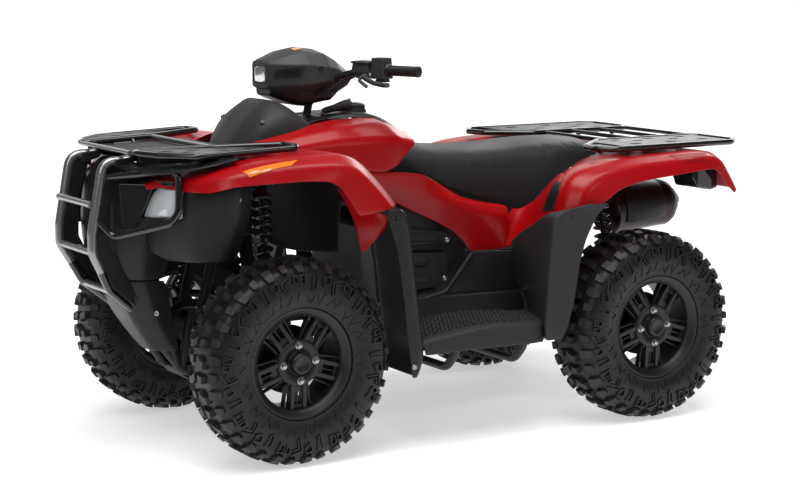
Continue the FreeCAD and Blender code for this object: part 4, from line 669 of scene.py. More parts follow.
tyres = wheel_pieces("knobbly_tyre", tyre_rubber,
                     lambda kind, facts: tyre_mesh("knobbly_tyre_" + kind, facts["radius"], facts["half"]))
for piece in tyres:
    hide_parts(piece.name.replace("knobbly_tyre", "tyre"))
print("tyre faces", [len(piece.data.polygons) for piece in tyres])

# %% [markdown]
# The rim is a cast wheel: a barrel with a stepped flange, a dished hub, and five spokes of two
# broad blades with thin webs between them. It is turned and patterned like the tyre. The edges
# are rounded with a bevel because cast metal has no knife edges, and round edges catch light.

# %% Rims
def cast_blade(target, turn, inner_x, outer_x, width, low, high, back, front, lean):
    """One tapered blade of a spoke, drawn at the top of the wheel and turned to its place."""
    corners = []
    for z, x, share in ((low, inner_x, 1.0), (high, outer_x, 0.86)):
        for dx, y in ((-0.5, back), (0.5, back), (0.42, front), (-0.42, front)):
            drop = 0.0 if z == low else lean
            corners.append(target.verts.new((x + dx * width * share, y - drop, z)))
    a = corners[:4]
    b = corners[4:]
    ring_faces(target, [a, b])
    target.faces.new(a[::-1])
    target.faces.new(b)
    bmesh.ops.rotate(target, verts=corners, matrix=turn)


def turned_by(share):
    """A turn about the axle by a share of a full turn."""
    return Matrix.Rotation(2 * math.pi * share, 3, "Y")


def rim_mesh(kind, facts):
    """A cast rim: barrel, hub, spokes and the small ribs round the hub."""
    half = facts["rim_half"]
    face = half - 0.018
    shape = bmesh.new()
    barrel = [(-half, 0.169), (-half + 0.003, 0.1715), (-half + 0.007, 0.170), (-half + 0.010, 0.1515),
              (-half * 0.4, 0.146), (half * 0.2, 0.146), (half - 0.016, 0.149), (half - 0.010, 0.153),
              (half - 0.006, 0.1705), (half - 0.001, 0.1712), (half, 0.168), (half - 0.002, 0.1600),
              (half - 0.006, 0.1585), (half - 0.0065, 0.1530), (half - 0.011, 0.1515),
              (half - 0.013, 0.1445),
              (half - 0.030, 0.1425), (half * 0.2, 0.1400), (-half * 0.4, 0.1400), (-half + 0.012, 0.145)]
    for f in turned_mesh(shape, barrel, 96, closed=True):
        f.smooth = True
    hub = [(face - 0.042, 0.020), (face - 0.042, 0.062), (face - 0.020, 0.072), (face - 0.005, 0.072),
           (face - 0.001, 0.0695), (face, 0.067), (face, 0.041), (face - 0.003, 0.0395),
           (face - 0.003, 0.0360),
           (face + 0.001, 0.0345), (face + 0.016, 0.0322), (face + 0.0215, 0.0290), (face + 0.023, 0.0225),
           (face + 0.0215, 0.0210), (face + 0.0215, 0.001)]
    for f in turned_mesh(shape, hub, 72):
        f.smooth = True
    # two blades and two webs, then the plates that join the blades at the hub and at the barrel
    blades = [(side * inner, side * outer, *rest) for side in (-1, 1) for inner, outer, *rest in (
        (0.0200, 0.0215, 0.0165, 0.056, 0.1450, 0.030, 0.003, 0.004),
        (0.0345, 0.0450, 0.0060, 0.060, 0.1400, 0.034, 0.014, 0.004))]
    blades += [(0, 0, 0.040, 0.054, 0.090, 0.030, 0.011, 0.002),
               (0, 0, 0.046, 0.128, 0.1450, 0.036, 0.010, 0.004),
               (0, 0, 0.006, 0.086, 0.132, 0.032, 0.014, 0.003)]
    for spoke in range(spoke_count):
        turn = turned_by((spoke + 0.5) / spoke_count)
        for *sizes, back, front, lean in blades:
            cast_blade(shape, turn, *sizes, face - back, face - front, lean)
    hub_ribs = 2 * spoke_count
    for rib in range(hub_ribs):
        turn = turned_by((rib + 0.25) / hub_ribs)
        cast_blade(shape, turn, 0, 0, 0.010, 0.066, 0.077, face - 0.030, face - 0.007, 0.001)
    sharp = [edge for edge in shape.edges if len(edge.link_faces) == 2 and not edge.link_faces[0].smooth]
    bmesh.ops.bevel(shape, geom=sharp, offset=0.0016, segments=2, profile=0.6, affect="EDGES")
    return mesh_from("cast_rim_" + kind, shape)


rims = wheel_pieces("cast_rim", rim_paint, rim_mesh)
for piece in rims:
    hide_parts(piece.name.replace("cast_rim", "rim"))
print("rim faces", [len(piece.data.polygons) for piece in rims])

# %% [markdown]
# Four bright nuts hold each wheel. Each is a hexagon with a washer face and a domed end, turned
# as a short profile, and they are the only bright points of the wheel.

# %% Wheel nuts
def nuts_mesh(kind, facts):
    """The nuts of a wheel: turned, with six flats on the middle of their height."""
    face = facts["rim_half"] - 0.018
    shape = bmesh.new()
    for number in range(nut_count):
        turn = 2 * math.pi / nut_count * number + 0.06
        middle = Vector((nut_circle * math.sin(turn), face - 0.001, nut_circle * math.cos(turn)))
        rings = []
        for y, r in mm([(0, 11.5), (3, 11.5), (3.5, 9.5), (10, 9.5), (12.5, 8), (14.2, 5), (14.8, 0.8)]):
            sides = 18
            ring = []
            for k in range(sides):
                angle = 2 * math.pi * k / sides
                flat = 1.0
                if 0.003 < y < 0.011:
                    within = (angle + math.pi / 6) % (math.pi / 3) - math.pi / 6
                    flat = 0.90 / math.cos(within) if abs(within) < 0.5 else 1.0
                ring.append(shape.verts.new(middle + Vector((r * flat * math.sin(angle), y,
                                                             r * flat * math.cos(angle)))))
            rings.append(ring)
        ring_faces(shape, rings)
        shape.faces.new(rings[-1])
    return mesh_from("wheel_nuts_" + kind, shape)


nuts = wheel_pieces("wheel_nuts", bright_steel, nuts_mesh)
print("nuts on", len(nuts), "wheels")

# %% [markdown]
# Behind the spokes sits the brake disc with a ring of slots. It is dark, and it keeps the eye
# from looking straight through the wheel.

# %% Brake discs
def disc_mesh(kind, facts):
    """A brake disc with its carrier and a ring of slots."""
    shape = bmesh.new()
    back = facts["rim_half"] - 0.098
    ring = [(back, 0.048), (back, 0.104), (back + 0.001, 0.105), (back + 0.005, 0.105),
            (back + 0.006, 0.104), (back + 0.006, 0.080), (back + 0.012, 0.074), (back + 0.012, 0.048)]
    for face in turned_mesh(shape, ring, 72, closed=True):
        face.smooth = False
    for number in range(disc_slots):
        cast_blade(shape, turned_by(number / disc_slots), 0, 0.004, 0.007, 0.084, 0.100, back + 0.0045,
                   back + 0.0075, 0)
    return mesh_from("brake_disc_" + kind, shape)


discs = wheel_pieces("brake_disc", frame_paint, disc_mesh)
print("discs", len(discs))

# %% [markdown]
# The fenders are long moulded shells. Each is drawn as a row of sections along the machine.
# A section leans from its lip to its crest, so it is written as the crest, the lip and a list
# of (distance from the centre, share of the lean). Few points and a subdivision give the soft
# moulded shape, and a crease keeps the line where the top turns down into the side.

# %% Front fenders
front_fender_sections = cuts([
    (1005, 846, 1005, 834, [(222, 30), (230, 30), (235, 0), (238, -50), (240, -100)]),
    (975, 862, 975, 842, [(222, 20), (248, 20), (260, 0), (267, -40), (270, -100)]),
    (935, 870, 935, 832, [(225, 15), (290, 10), (312, 0), (324, -35), (328, -100)]),
    (890, 880, 900, 838, [(240, 30), (340, 25), (430, 0), (452, -35), (460, -100)]),
    (835, 905, 838, 858, [(240, 15), (360, 15), (458, 0), (494, -30), (506, -100)]),
    (740, 926, 740, 865, [(236, -10), (380, 8), (480, 0), (530, -30), (548, -100)]),
    (630, 935, 632, 868, [(232, -20), (380, 0), (485, 0), (545, -34), (562, -100)]),
    (535, 940, 552, 862, [(242, -10), (390, 3), (488, 0), (550, -36), (565, -100)]),
    (460, 936, 520, 842, [(246, -5), (390, 3), (490, 0), (550, -33), (565, -100)]),
    (415, 912, 500, 815, [(250, -5), (390, 3), (490, 0), (550, -30), (565, -100)]),
    (375, 876, 480, 788, [(254, -5), (390, 3), (492, 0), (550, -30), (564, -100)]),
    (330, 826, 468, 768, [(258, -5), (390, 2), (494, 0), (550, -28), (563, -100)]),
    (285, 770, 458, 752, [(262, -5), (390, 2), (500, 0), (552, -25), (562, -100)]),
], 100)


def leaning_rows(table):
    """Rows of points for a fender given by crests, lips and shares."""
    rows = []
    for crest_x, crest_z, lip_x, lip_z, line in table:
        lean = Vector((crest_x - lip_x, 0, crest_z - lip_z))
        rows.append([Vector((crest_x, y, crest_z)) + lean * part for y, part in line])
    return rows


front_fenders = panel_pair("front_fender_shell", leaning_rows(front_fender_sections), gloss_red, "chassis",
                           "red_panel", sharp=(2, 3), sharpness=0.72)
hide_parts("front_fender_left")
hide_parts("front_fender_right")
print("front fender sections", len(front_fender_sections))

# %% [markdown]
# The rear fender is made in the same way. Its crest sweeps up from the side panel, runs level
# under the rack, and drops at the tail in a chamfered corner.

# %% Rear fenders
rear_fender_sections = cuts([
    (-330, 704, -440, 722, [(462, -2), (476, 0), (502, -3), (548, -40), (565, -100)]),
    (-340, 745, -458, 736, [(462, -2), (476, 0), (502, -3), (550, -35), (565, -100)]),
    (-352, 790, -484, 750, [(456, -2), (470, 0), (498, -3), (550, -30), (565, -100)]),
    (-384, 824, -508, 765, [(350, -34), (448, 0), (492, 0), (550, -28), (564, -100)]),
    (-430, 842, -540, 778, [(315, -40), (426, 0), (488, 0), (548, -28), (564, -100)]),
    (-500, 857, -582, 790, [(250, -58), (400, -6), (484, 0), (546, -30), (564, -100)]),
    (-580, 865, -630, 797, [(205, -50), (385, -4), (484, 0), (545, -30), (563, -100)]),
    (-660, 869, -682, 802, [(208, -25), (376, -2), (484, 0), (544, -30), (562, -100)]),
    (-740, 871, -745, 806, [(206, -12), (370, 0), (484, 0), (542, -30), (560, -100)]),
    (-857, 875, -857, 816, [(200, -12), (360, 0), (484, 0), (540, -30), (556, -100)]),
    (-940, 876, -926, 818, [(198, -12), (350, 0), (478, 0), (532, -30), (546, -100)]),
    (-985, 864, -952, 802, [(198, -8), (340, 0), (474, 0), (526, -30), (540, -100)]),
    (-1018, 818, -982, 768, [(200, 0), (340, 0), (472, 0), (520, -30), (535, -100)]),
    (-1066, 738, -1034, 726, [(204, 0), (340, 0), (470, 0), (514, -30), (528, -100)]),
], 100)

rear_fenders = panel_pair("rear_fender_shell", leaning_rows(rear_fender_sections), gloss_red, "chassis",
                          "red_panel", sharp=(2, 3), sharpness=0.72)
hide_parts("rear_fender_left")
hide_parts("rear_fender_right")
print("rear fender sections", len(rear_fender_sections))

# %% [markdown]
# Between the side panel and the rear fender the red plastic turns inwards, so that the rider's
# heel has room. It is cut lengthways here: each row is a cut at a distance from the middle.

# %% Turned-in panel of the rear fender
apron_sections = cuts([
    (204, [(-292, 640), (-318, 664), (-332, 680), (-342, 690)]),
    (240, [(-284, 566), (-306, 620), (-328, 668), (-352, 690)]),
    (254, [(-290, 566), (-318, 628), (-360, 690), (-420, 728)]),
    (280, [(-302, 580), (-334, 650), (-388, 735), (-448, 778)]),
    (330, [(-318, 600), (-344, 680), (-384, 765), (-440, 812)]),
    (404, [(-326, 636), (-334, 700), (-354, 770), (-400, 826)]),
    (480, [(-336, 700), (-344, 738), (-352, 772), (-372, 806)]),
])

aprons = panel_pair("rear_fender_heel", cut_rows(apron_sections, LENGTHWAYS), gloss_red, "chassis",
                    "red_panel", inward=False)
print("heel panels", len(aprons))

# %% [markdown]
# Inside the front wheel arch, the fender turns in behind the wheel as a red flank, and a black
# liner closes the arch towards the engine. Without them the floor would shine through.

# %% Inside of the front arches
flank_rows = mm_rows([
    [(388, 450, 624), (382, 456, 626), (376, 462, 630)],
    [(401, 450, 690), (360, 468, 684), (322, 486, 690)],
    [(423, 450, 745), (384, 500, 738), (334, 548, 745)],
    [(448, 450, 790), (440, 505, 782), (425, 556, 766)],
    [(478, 450, 836), (476, 505, 824), (472, 558, 800)],
])
liner_rows = mm_rows([
    [(335, 226, 585), (333, 230, 700), (330, 254, 812)],
    [(378, 226, 590), (376, 230, 720), (374, 250, 862)],
    [(420, 226, 595), (419, 230, 740), (418, 247, 896)],
    [(470, 226, 600), (469, 230, 760), (468, 243, 918)],
    [(535, 226, 615), (536, 230, 780), (538, 240, 926)],
    [(600, 226, 640), (601, 229, 790), (602, 235, 918)],
])


flanks = panel_pair("front_fender_flank", flank_rows, gloss_red, "chassis", "red_panel")
liners = panel_pair("front_arch_liner", liner_rows, black_plastic, "chassis", "black_plastic")
print("arch pieces", len(flanks) + len(liners))

# %% [markdown]
# The tank cover's sides, the black top with the filler, the nose cowl and the side panels are
# sheets across the machine: each row is one cut at a distance from the axle. A cut that goes
# over the middle is given as its left half and mirrored.

# %% Tank, cowl and side panels
tank_side_sections = cuts([
    (700, [(228, 880), (226, 892), (205, 906), (165, 912)]),
    (600, [(244, 884), (240, 922), (212, 942), (165, 950)]),
    (500, [(258, 880), (255, 936), (222, 962), (168, 968)]),
    (400, [(264, 868), (261, 948), (226, 978), (132, 988)]),
    (300, [(270, 850), (266, 956), (225, 990), (108, 1000)]),
    (190, [(268, 836), (266, 954), (214, 997), (108, 1004)]),
    (140, [(262, 858), (260, 950), (204, 990), (108, 1000)]),
    (112, [(256, 890), (252, 939), (192, 974), (108, 987)]),
    (84, [(249, 912), (244, 936), (186, 963), (108, 974)]),
    (60, [(236, 922), (230, 936), (176, 954), (108, 962)]),
])

tank_top_sections = cuts([
    (312, [(106, 1003), (92, 1012), (40, 1016), (0, 1016)]),
    (240, [(106, 1006), (92, 1018), (40, 1023), (0, 1023)]),
    (150, [(106, 1005), (92, 1017), (40, 1021), (0, 1021)]),
    (84, [(106, 981), (92, 992), (40, 998), (0, 998)]),
    (40, [(106, 949), (92, 958), (40, 962), (0, 962)]),
])

dash_sections = cuts([
    (394, [(124, 990), (112, 996), (60, 998), (30, 999)]),
    (350, [(112, 1002), (100, 1009), (60, 1013), (26, 1014)]),
    (312, [(106, 1003), (92, 1012), (60, 1016), (26, 1016)]),
])

cowl_sections = cuts([
    (655, [(52, 906), (50, 911), (44, 917), (0, 918)]),
    (623, [(104, 921), (94, 946), (55, 955), (0, 956)]),
    (590, [(140, 935), (136, 980), (59, 996), (0, 997)]),
    (556, [(160, 943), (160, 1014), (63, 1036), (0, 1035)]),
    (521, [(166, 950), (162, 1022), (67, 1064), (0, 1065)]),
    (493, [(166, 956), (158, 1028), (69, 1072), (0, 1073)]),
    (468, [(164, 960), (152, 1026), (98, 1058), (0, 1050)]),
    (440, [(158, 964), (145, 1009), (120, 1036), (0, 1020)]),
    (408, [(146, 974), (138, 994), (128, 1009), (0, 988)]),
    (388, [(136, 980), (134, 985), (130, 990), (0, 984)]),
])

side_panel_sections = cuts([
    (326, [(254, 806), (266, 832), (266, 852)]),
    (262, [(252, 790), (264, 818), (268, 848)]),
    (190, [(248, 764), (261, 800), (264, 846)]),
    (124, [(242, 730), (258, 784), (262, 842)]),
    (45, [(238, 693), (252, 764), (256, 832)]),
    (-28, [(234, 660), (250, 744), (234, 796)]),
    (-86, [(230, 628), (248, 734), (214, 764)]),
    (-130, [(228, 590), (247, 722), (208, 740)]),
    (-155, [(228, 552), (246, 716), (205, 732)]),
    (-216, [(230, 550), (244, 706), (202, 716)]),
    (-284, [(240, 552), (244, 698), (204, 704)]),
    (-296, [(240, 560), (244, 696), (204, 702)]),
])

tank_sides = panel_pair("tank_side_shell", cut_rows(tank_side_sections, ACROSS), gloss_red, "chassis",
                        "red_panel", sharp=(1, 2, 3), sharpness=0.55)
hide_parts("tank_cover")
tank_lid = moulded_panel("tank_top_shell", cut_rows(tank_top_sections, ACROSS, True), black_plastic,
                         "chassis", "black_plastic", sharp=(1, 5), sharpness=0.5)
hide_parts("tank_top")
dash_shells = panel_pair("dash_side", cut_rows(dash_sections, ACROSS), black_plastic, "chassis",
                         "black_plastic", sharp=(1,), sharpness=0.5)
nose_cowl = moulded_panel("nose_cowl_shell", cut_rows(cowl_sections, ACROSS, True), charcoal, "chassis",
                          "charcoal_plastic", sharp=(2, 4), sharpness=0.95)
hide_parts("cowl")
side_shells = panel_pair("side_panel_shell", cut_rows(side_panel_sections, ACROSS), gloss_red, "chassis",
                         "red_panel", sharp=(1,), sharpness=0.6)
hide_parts("side_panels")
liner_sections = cuts([
    (130, [(196, 740), (200, 800), (196, 868)]),
    (0, [(190, 690), (192, 750), (174, 850)]),
    (-150, [(188, 690), (190, 730), (172, 820)]),
    (-330, [(188, 660), (190, 690), (172, 800)]),
    (-480, [(180, 700), (180, 750), (160, 820)]),
])
panel_pair("under_seat_liner", cut_rows(liner_sections, ACROSS), black_plastic, "chassis",
           "black_plastic")
print("body shells", len(tank_sides) + len(dash_shells) + len(side_shells) + 2)

# %% [markdown]
# The filler cap sits proud of the tank top. It is turned like the rims, with 24 grip ribs made
# by waving its rim in and out.

# %% Filler cap
def turned_piece(name, profile, place, direction, material, body, steps=48, ribs=0, depth=0.0):
    """A turned solid whose axle points along a direction."""
    shape = bmesh.new()
    for face in turned_mesh(shape, profile, steps):
        face.smooth = True
    if ribs:
        for vert in shape.verts:
            turn = math.atan2(vert.co.x, vert.co.z)
            r = math.hypot(vert.co.x, vert.co.z)
            if r > profile[1][1] * 0.9:
                inwards = 1 - depth * (0.5 + 0.5 * math.cos(turn * ribs)) / max(r, 1e-4)
                vert.co.x *= inwards
                vert.co.z *= inwards
    mesh = mesh_from(name, shape)
    mesh.materials.append(material)
    piece = new_object(name, mesh)
    turn = Vector(direction).to_track_quat("Y", "Z").to_matrix().to_4x4()
    piece.matrix_world = Matrix.Translation(Vector(place)) @ turn
    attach(piece, body)
    return piece


turned_piece("filler_cap", mm([(0, 50), (6, 50), (10, 46), (22, 45.5), (27, 43), (30, 36), (29, 26),
                               (26, 24), (26, 0.5)]),
             (0.160, 0, 1.016), (0, 0, 1), black_plastic, "chassis", 96, 24, 0.003)
turned_piece("cap_breather", mm([(0, 5.5), (20, 5.5), (22, 3.5), (22, 0.3)]), (0.172, 0.006, 1.040),
             (0, 0.15, 1), black_plastic, "chassis", 24)
print("filler cap in place")

# %% [markdown]
# The front of the machine is a set of dark plates: a fascia behind the guard, a lower cover
# that tapers to the skid plate, and a shroud on each side below the headlamp. They are level
# cuts, one above the other.

# %% Front plates
front_fascia_sections = cuts([
    (545, [(905, 150), (985, 142), (1038, 100), (1046, 0)]),
    (600, [(900, 168), (995, 160), (1052, 110), (1062, 0)]),
    (690, [(890, 186), (1008, 178), (1066, 118), (1074, 0)]),
    (800, [(880, 205), (1000, 192), (1058, 118), (1068, 0)]),
    (862, [(870, 212), (985, 198), (1040, 118), (1050, 0)]),
    (896, [(865, 205), (955, 190), (1000, 118), (1010, 0)]),
])

front_lower_cover_sections = cuts([
    (302, [(835, 95), (850, 95), (900, 52), (908, 0)]),
    (400, [(860, 118), (925, 112), (972, 70), (980, 0)]),
    (500, [(890, 146), (970, 138), (1022, 95), (1030, 0)]),
    (544.7, [(903, 149), (982, 141), (1034, 100), (1042, 0)]),
])

front_shroud_sections = cuts([
    (617, [(772, 354), (806, 362), (880, 338), (940, 250)]),
    (640, [(752, 352), (800, 366), (905, 334), (972, 176)]),
    (690, [(736, 354), (786, 376), (912, 350), (980, 176)]),
    (760, [(714, 360), (778, 392), (915, 362), (984, 180)]),
    (826, [(716, 370), (782, 402), (915, 372), (975, 186)]),
    (848, [(722, 372), (784, 398), (905, 366), (962, 192)]),
])

fascia = moulded_panel("front_fascia_shell", cut_rows(front_fascia_sections, LEVEL, True), black_plastic,
                       "chassis", "black_plastic", sharp=(1, 2, 4, 5), sharpness=0.7)
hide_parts("front_fascia")
lower_cover = moulded_panel("front_lower_shell", cut_rows(front_lower_cover_sections, LEVEL, True),
                            black_plastic, "chassis", "black_plastic", sharp=(1, 2, 4, 5), sharpness=0.7)
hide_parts("front_lower_cover")
shrouds = panel_pair("front_shroud_shell", cut_rows(front_shroud_sections, LEVEL), black_plastic,
                     "chassis", "black_plastic", sharp=(1, 2), sharpness=0.6)
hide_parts("front_shrouds")
print("front plates in place")

# %% [markdown]
# The footwells are charcoal plastic: a tall mudguard strip in front of the rider's boot, a
# treaded floor, and a broad mudguard before the rear wheel.

# %% Footwells
front_mudguard_sections = cuts([
    (233, [(262, 552), (238, 548), (236, 300)]),
    (298, [(272, 556), (214, 552), (212, 300)]),
    (353, [(282, 558), (223, 554), (220, 298)]),
    (479, [(297, 560), (239, 556), (234, 296)]),
    (640, [(322, 562), (262, 558), (254, 294)]),
    (713, [(350, 565), (272, 561), (258, 292)]),
    (748, [(362, 567), (284, 564), (266, 290)]),
    (766, [(352, 567), (306, 565), (282, 290)]),
])

floor_sections = cuts([
    (222, [(296, 352), (530, 350), (548, 344), (554, 300)]),
    (120, [(296, 362), (530, 362), (550, 356), (556, 302)]),
    (9, [(296, 374), (530, 374), (550, 368), (556, 302)]),
    (-66, [(296, 376), (530, 376), (550, 370), (556, 300)]),
    (-237, [(296, 366), (530, 366), (550, 360), (556, 298)]),
    (-262, [(296, 364), (490, 364), (504, 360), (508, 330)]),
    (-330, [(292, 362), (330, 362), (340, 358), (344, 336)]),
])

rear_mudguard_sections = cuts([
    (304, [(-300, 560), (-244, 557), (-262, 500), (-338, 300)]),
    (349, [(-322, 562), (-235, 558), (-258, 500), (-344, 298)]),
    (438, [(-348, 563), (-242, 559), (-262, 498), (-330, 284)]),
    (548, [(-364, 564), (-252, 559), (-266, 486), (-300, 256)]),
    (590, [(-376, 565), (-258, 559), (-268, 480), (-282, 280)]),
    (628, [(-390, 565), (-262, 559), (-266, 490), (-276, 345)]),
    (690, [(-424, 567), (-262, 559), (-264, 530), (-266, 480)]),
    (708, [(-440, 568), (-268, 564), (-268, 540), (-270, 512)]),
    (722, [(-456, 569), (-338, 567), (-336, 562), (-334, 556)]),
    (736, [(-470, 570), (-410, 569), (-408, 567), (-406, 564)]),
])

front_mudguards = panel_pair("front_mudguard", cut_rows(front_mudguard_sections, LEVEL), black_plastic,
                             "chassis", "charcoal_plastic", wall=0.0045, sharp=(1,), sharpness=0.75)
floors = panel_pair("foot_floor", cut_rows(floor_sections, ACROSS), charcoal, "chassis",
                    "charcoal_plastic", wall=0.0045, sharp=(1, 2), sharpness=0.8)
rear_mudguards = panel_pair("rear_mudguard", cut_rows(rear_mudguard_sections, LEVEL), charcoal, "chassis",
                            "charcoal_plastic", wall=0.0045, sharp=(1,), sharpness=0.75)
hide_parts("footwell_left")
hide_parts("footwell_right")
print("footwell pieces", len(front_mudguards) + len(floors) + len(rear_mudguards))

# %% [markdown]
# The floor needs grip, so it carries rows of small moulded blocks. They are bars laid across
# the floor, each a little pyramid in section.

# %% Floor treads
def block_mesh(shape, centre, sizes, taper=0.75, turn=None):
    """Adds a small tapered block to a bmesh."""
    made = []
    for z, share in ((-0.5, 1.0), (0.5, taper)):
        for sx, sy in ((-0.5, -0.5), (0.5, -0.5), (0.5, 0.5), (-0.5, 0.5)):
            spot = Vector((sx * sizes[0] * share, sy * sizes[1] * share, z * sizes[2]))
            if turn:
                spot = turn @ spot
            made.append(shape.verts.new(Vector(centre) + spot))
    ring_faces(shape, [made[:4], made[4:]])
    shape.faces.new(made[3::-1])
    shape.faces.new(made[4:])


def mesh_piece(name, shape, material, body, smooth=False, bevel=0.0):
    """Finishes a bmesh as a piece."""
    piece = place_piece(name, mesh_from(name, shape), material, body, smooth)
    if bevel:
        soft = piece.modifiers.new("soft", "BEVEL")
        soft.width = bevel
        soft.segments = 2
        soft.limit_method = "ANGLE"
    return piece


def floor_height(x):
    """The floor's top at a place along the machine."""
    table = [(row[0], row[1][1][1]) for row in floor_sections]
    for (x1, z1), (x2, z2) in zip(table, table[1:]):
        if x2 <= x <= x1:
            return z1 + (z2 - z1) * (x - x1) / (x2 - x1)
    return table[-1][1]


tread_rows = 30
tread_columns = 8
for side, word in SIDES:
    shape = bmesh.new()
    for row in range(tread_rows):
        x = 0.196 - row * 0.0145
        for column in range(tread_columns):
            y = side * (0.314 + column * 0.0265 + (0.007 if row % 2 else 0.0))
            block_mesh(shape, (x, y, floor_height(x) + 0.0030), (0.0062, 0.0170, 0.006), 0.6)
    mesh_piece("floor_treads_" + word, shape, charcoal, "chassis", bevel=0.001)
print("floor treads in place")

# %% [markdown]
# The seat is foam under black vinyl. A sewn cover over foam has no flat face and no hard edge:
# it swells a little between its seams. So the seat starts from a closed form a few millimetres
# small, is remeshed into even cells, and cloth pressure blows it up until it is taut. The
# result is applied, and the simulation is not kept.

# %% Seat
seat_sections = cuts([
    (112, [(0, 872), (140, 866), (162, 846), (176, 850), (170, 880), (98, 896), (0, 900)]),
    (104, [(0, 871), (146, 864), (168, 840), (184, 845), (178, 884), (102, 901), (0, 905)]),
    (80, [(0, 868), (152, 860), (174, 834), (190, 840), (184, 884), (108, 906), (0, 913)]),
    (36, [(0, 862), (158, 852), (178, 812), (194, 817), (184, 884), (112, 925), (0, 938)]),
    (-20, [(0, 850), (162, 842), (182, 786), (198, 790), (185, 874), (113, 909), (0, 917)]),
    (-97, [(0, 830), (164, 826), (182, 752), (200, 756), (187, 868), (118, 892), (0, 897)]),
    (-200, [(0, 815), (164, 812), (182, 716), (200, 720), (188, 860), (120, 884), (0, 889)]),
    (-317, [(0, 810), (164, 808), (182, 684), (200, 688), (188, 860), (120, 883), (0, 888)]),
    (-400, [(0, 808), (164, 806), (182, 672), (200, 676), (188, 862), (120, 885), (0, 890)]),
    (-470, [(0, 812), (164, 810), (180, 702), (197, 708), (188, 866), (120, 890), (0, 894)]),
    (-560, [(0, 832), (162, 830), (178, 780), (194, 786), (184, 870), (118, 894), (0, 899)]),
    (-660, [(0, 840), (150, 836), (162, 816), (177, 824), (171, 869), (114, 893), (0, 898)]),
    (-722, [(0, 844), (136, 841), (148, 828), (162, 832), (156, 866), (105, 888), (0, 893)]),
    (-738, [(0, 846), (130, 843), (142, 832), (156, 836), (150, 862), (100, 882), (0, 887)]),
    (-742, [(0, 848), (124, 846), (136, 836), (148, 839), (143, 858), (96, 877), (0, 882)]),
])

seat_shape = bmesh.new()
seat_rings = [[seat_shape.verts.new(point) for point in row]
              for row in cut_rows(seat_sections, ACROSS, True)]
ring_faces(seat_shape, seat_rings)
for ring in (seat_rings[0], seat_rings[-1]):
    centre = seat_shape.verts.new(sum((v.co for v in ring), Vector()) / len(ring))
    for k in range(len(ring)):
        seat_shape.faces.new((ring[k], ring[(k + 1) % len(ring)], centre))
seat = place_piece("rider_seat", mesh_from("rider_seat", seat_shape), seat_vinyl, "chassis")


def apply_modifiers(piece):
    """Replaces a piece's mesh by what its modifiers make of it."""
    bpy.context.view_layer.update()
    depsgraph = bpy.context.evaluated_depsgraph_get()
    mesh = bpy.data.meshes.new_from_object(piece.evaluated_get(depsgraph))
    piece.modifiers.clear()
    piece.data = mesh
    return mesh


soften = seat.modifiers.new("soften", "SUBSURF")
soften.levels = 2
remesh = seat.modifiers.new("remesh", "REMESH")
remesh.mode = "VOXEL"
remesh.voxel_size = 0.0065
relax = seat.modifiers.new("relax", "SMOOTH")
relax.iterations = 6
apply_modifiers(seat)
print("seat cells", len(seat.data.polygons))

# %% [markdown]
# The pressure run takes twenty frames. How far a point may move is capped, because the seat
# has to stay in the room that the CAD model gives it.

# %% Blow the seat up
def inflate(piece, pressure, cap, frames=20):
    """Cloth pressure for a few frames, each point held within a cap of where it began."""
    start = [vert.co.copy() for vert in piece.data.vertices]
    cloth = piece.modifiers.new("pressure", "CLOTH")
    cloth.settings.use_pressure = True
    cloth.settings.uniform_pressure_force = pressure
    cloth.settings.effector_weights.gravity = 0.0
    cloth.settings.quality = 4
    cloth.point_cache.frame_start = 1
    cloth.point_cache.frame_end = frames
    scene = bpy.context.scene
    for number in range(1, frames + 1):
        scene.frame_set(number)
    bpy.context.view_layer.update()
    apply_modifiers(piece)
    furthest = 0.0
    for vert, origin in zip(piece.data.vertices, start):
        shift = vert.co - origin
        if shift.length > cap:
            vert.co = origin + shift.normalized() * cap
        furthest = max(furthest, (vert.co - origin).length)
    scene.frame_set(1)
    return furthest


print("seat swelled by up to", round(inflate(seat, 4.0, 0.005), 4))
finer = seat.modifiers.new("finer", "SUBSURF")
finer.levels = 1
finer.render_levels = 1
apply_modifiers(seat)
for face in seat.data.polygons:
    face.use_smooth = True
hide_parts("seat")
print("seat faces", len(seat.data.polygons))

# %% [markdown]
# The instrument pod on the handlebar is a faceted plastic shell. Its flats meet in crisp lines,
# so it isn't subdivided: only a narrow bevel rounds its edges.

# %% Instrument pod
pod_sections = cuts([
    (490, [(0, 1104), (50, 1106), (56, 1114), (56, 1186), (46, 1193), (0, 1195)]),
    (455, [(0, 1090), (70, 1096), (86, 1116), (86, 1184), (60, 1204), (0, 1211)]),
    (410, [(0, 1078), (86, 1096), (108, 1116), (108, 1182), (76, 1218), (0, 1229)]),
    (375, [(0, 1056), (84, 1094), (114, 1120), (114, 1180), (84, 1222), (0, 1235)]),
    (305, [(0, 1048), (84, 1094), (116, 1128), (114, 1172), (82, 1214), (0, 1227)]),
    (257, [(0, 1056), (76, 1092), (102, 1128), (98, 1162), (70, 1190), (0, 1200)]),
    (204, [(0, 1100), (56, 1108), (78, 1126), (70, 1148), (44, 1157), (0, 1163)]),
])


def closed_shell(name, table, material, body):
    """A closed body through cuts across the machine, its edges rounded by a bevel."""
    shape = bmesh.new()
    rings = [[shape.verts.new(point) for point in row] for row in cut_rows(table, ACROSS, True)]
    ring_faces(shape, rings)
    shape.faces.new(rings[0])
    shape.faces.new(rings[-1])
    piece = place_piece(name, mesh_from(name, shape), material, body)
    round_off = piece.modifiers.new("round_off", "BEVEL")
    round_off.width = 0.005
    round_off.segments = 3
    round_off.limit_method = "ANGLE"
    round_off.angle_limit = math.radians(7)
    round_off.harden_normals = True
    return piece


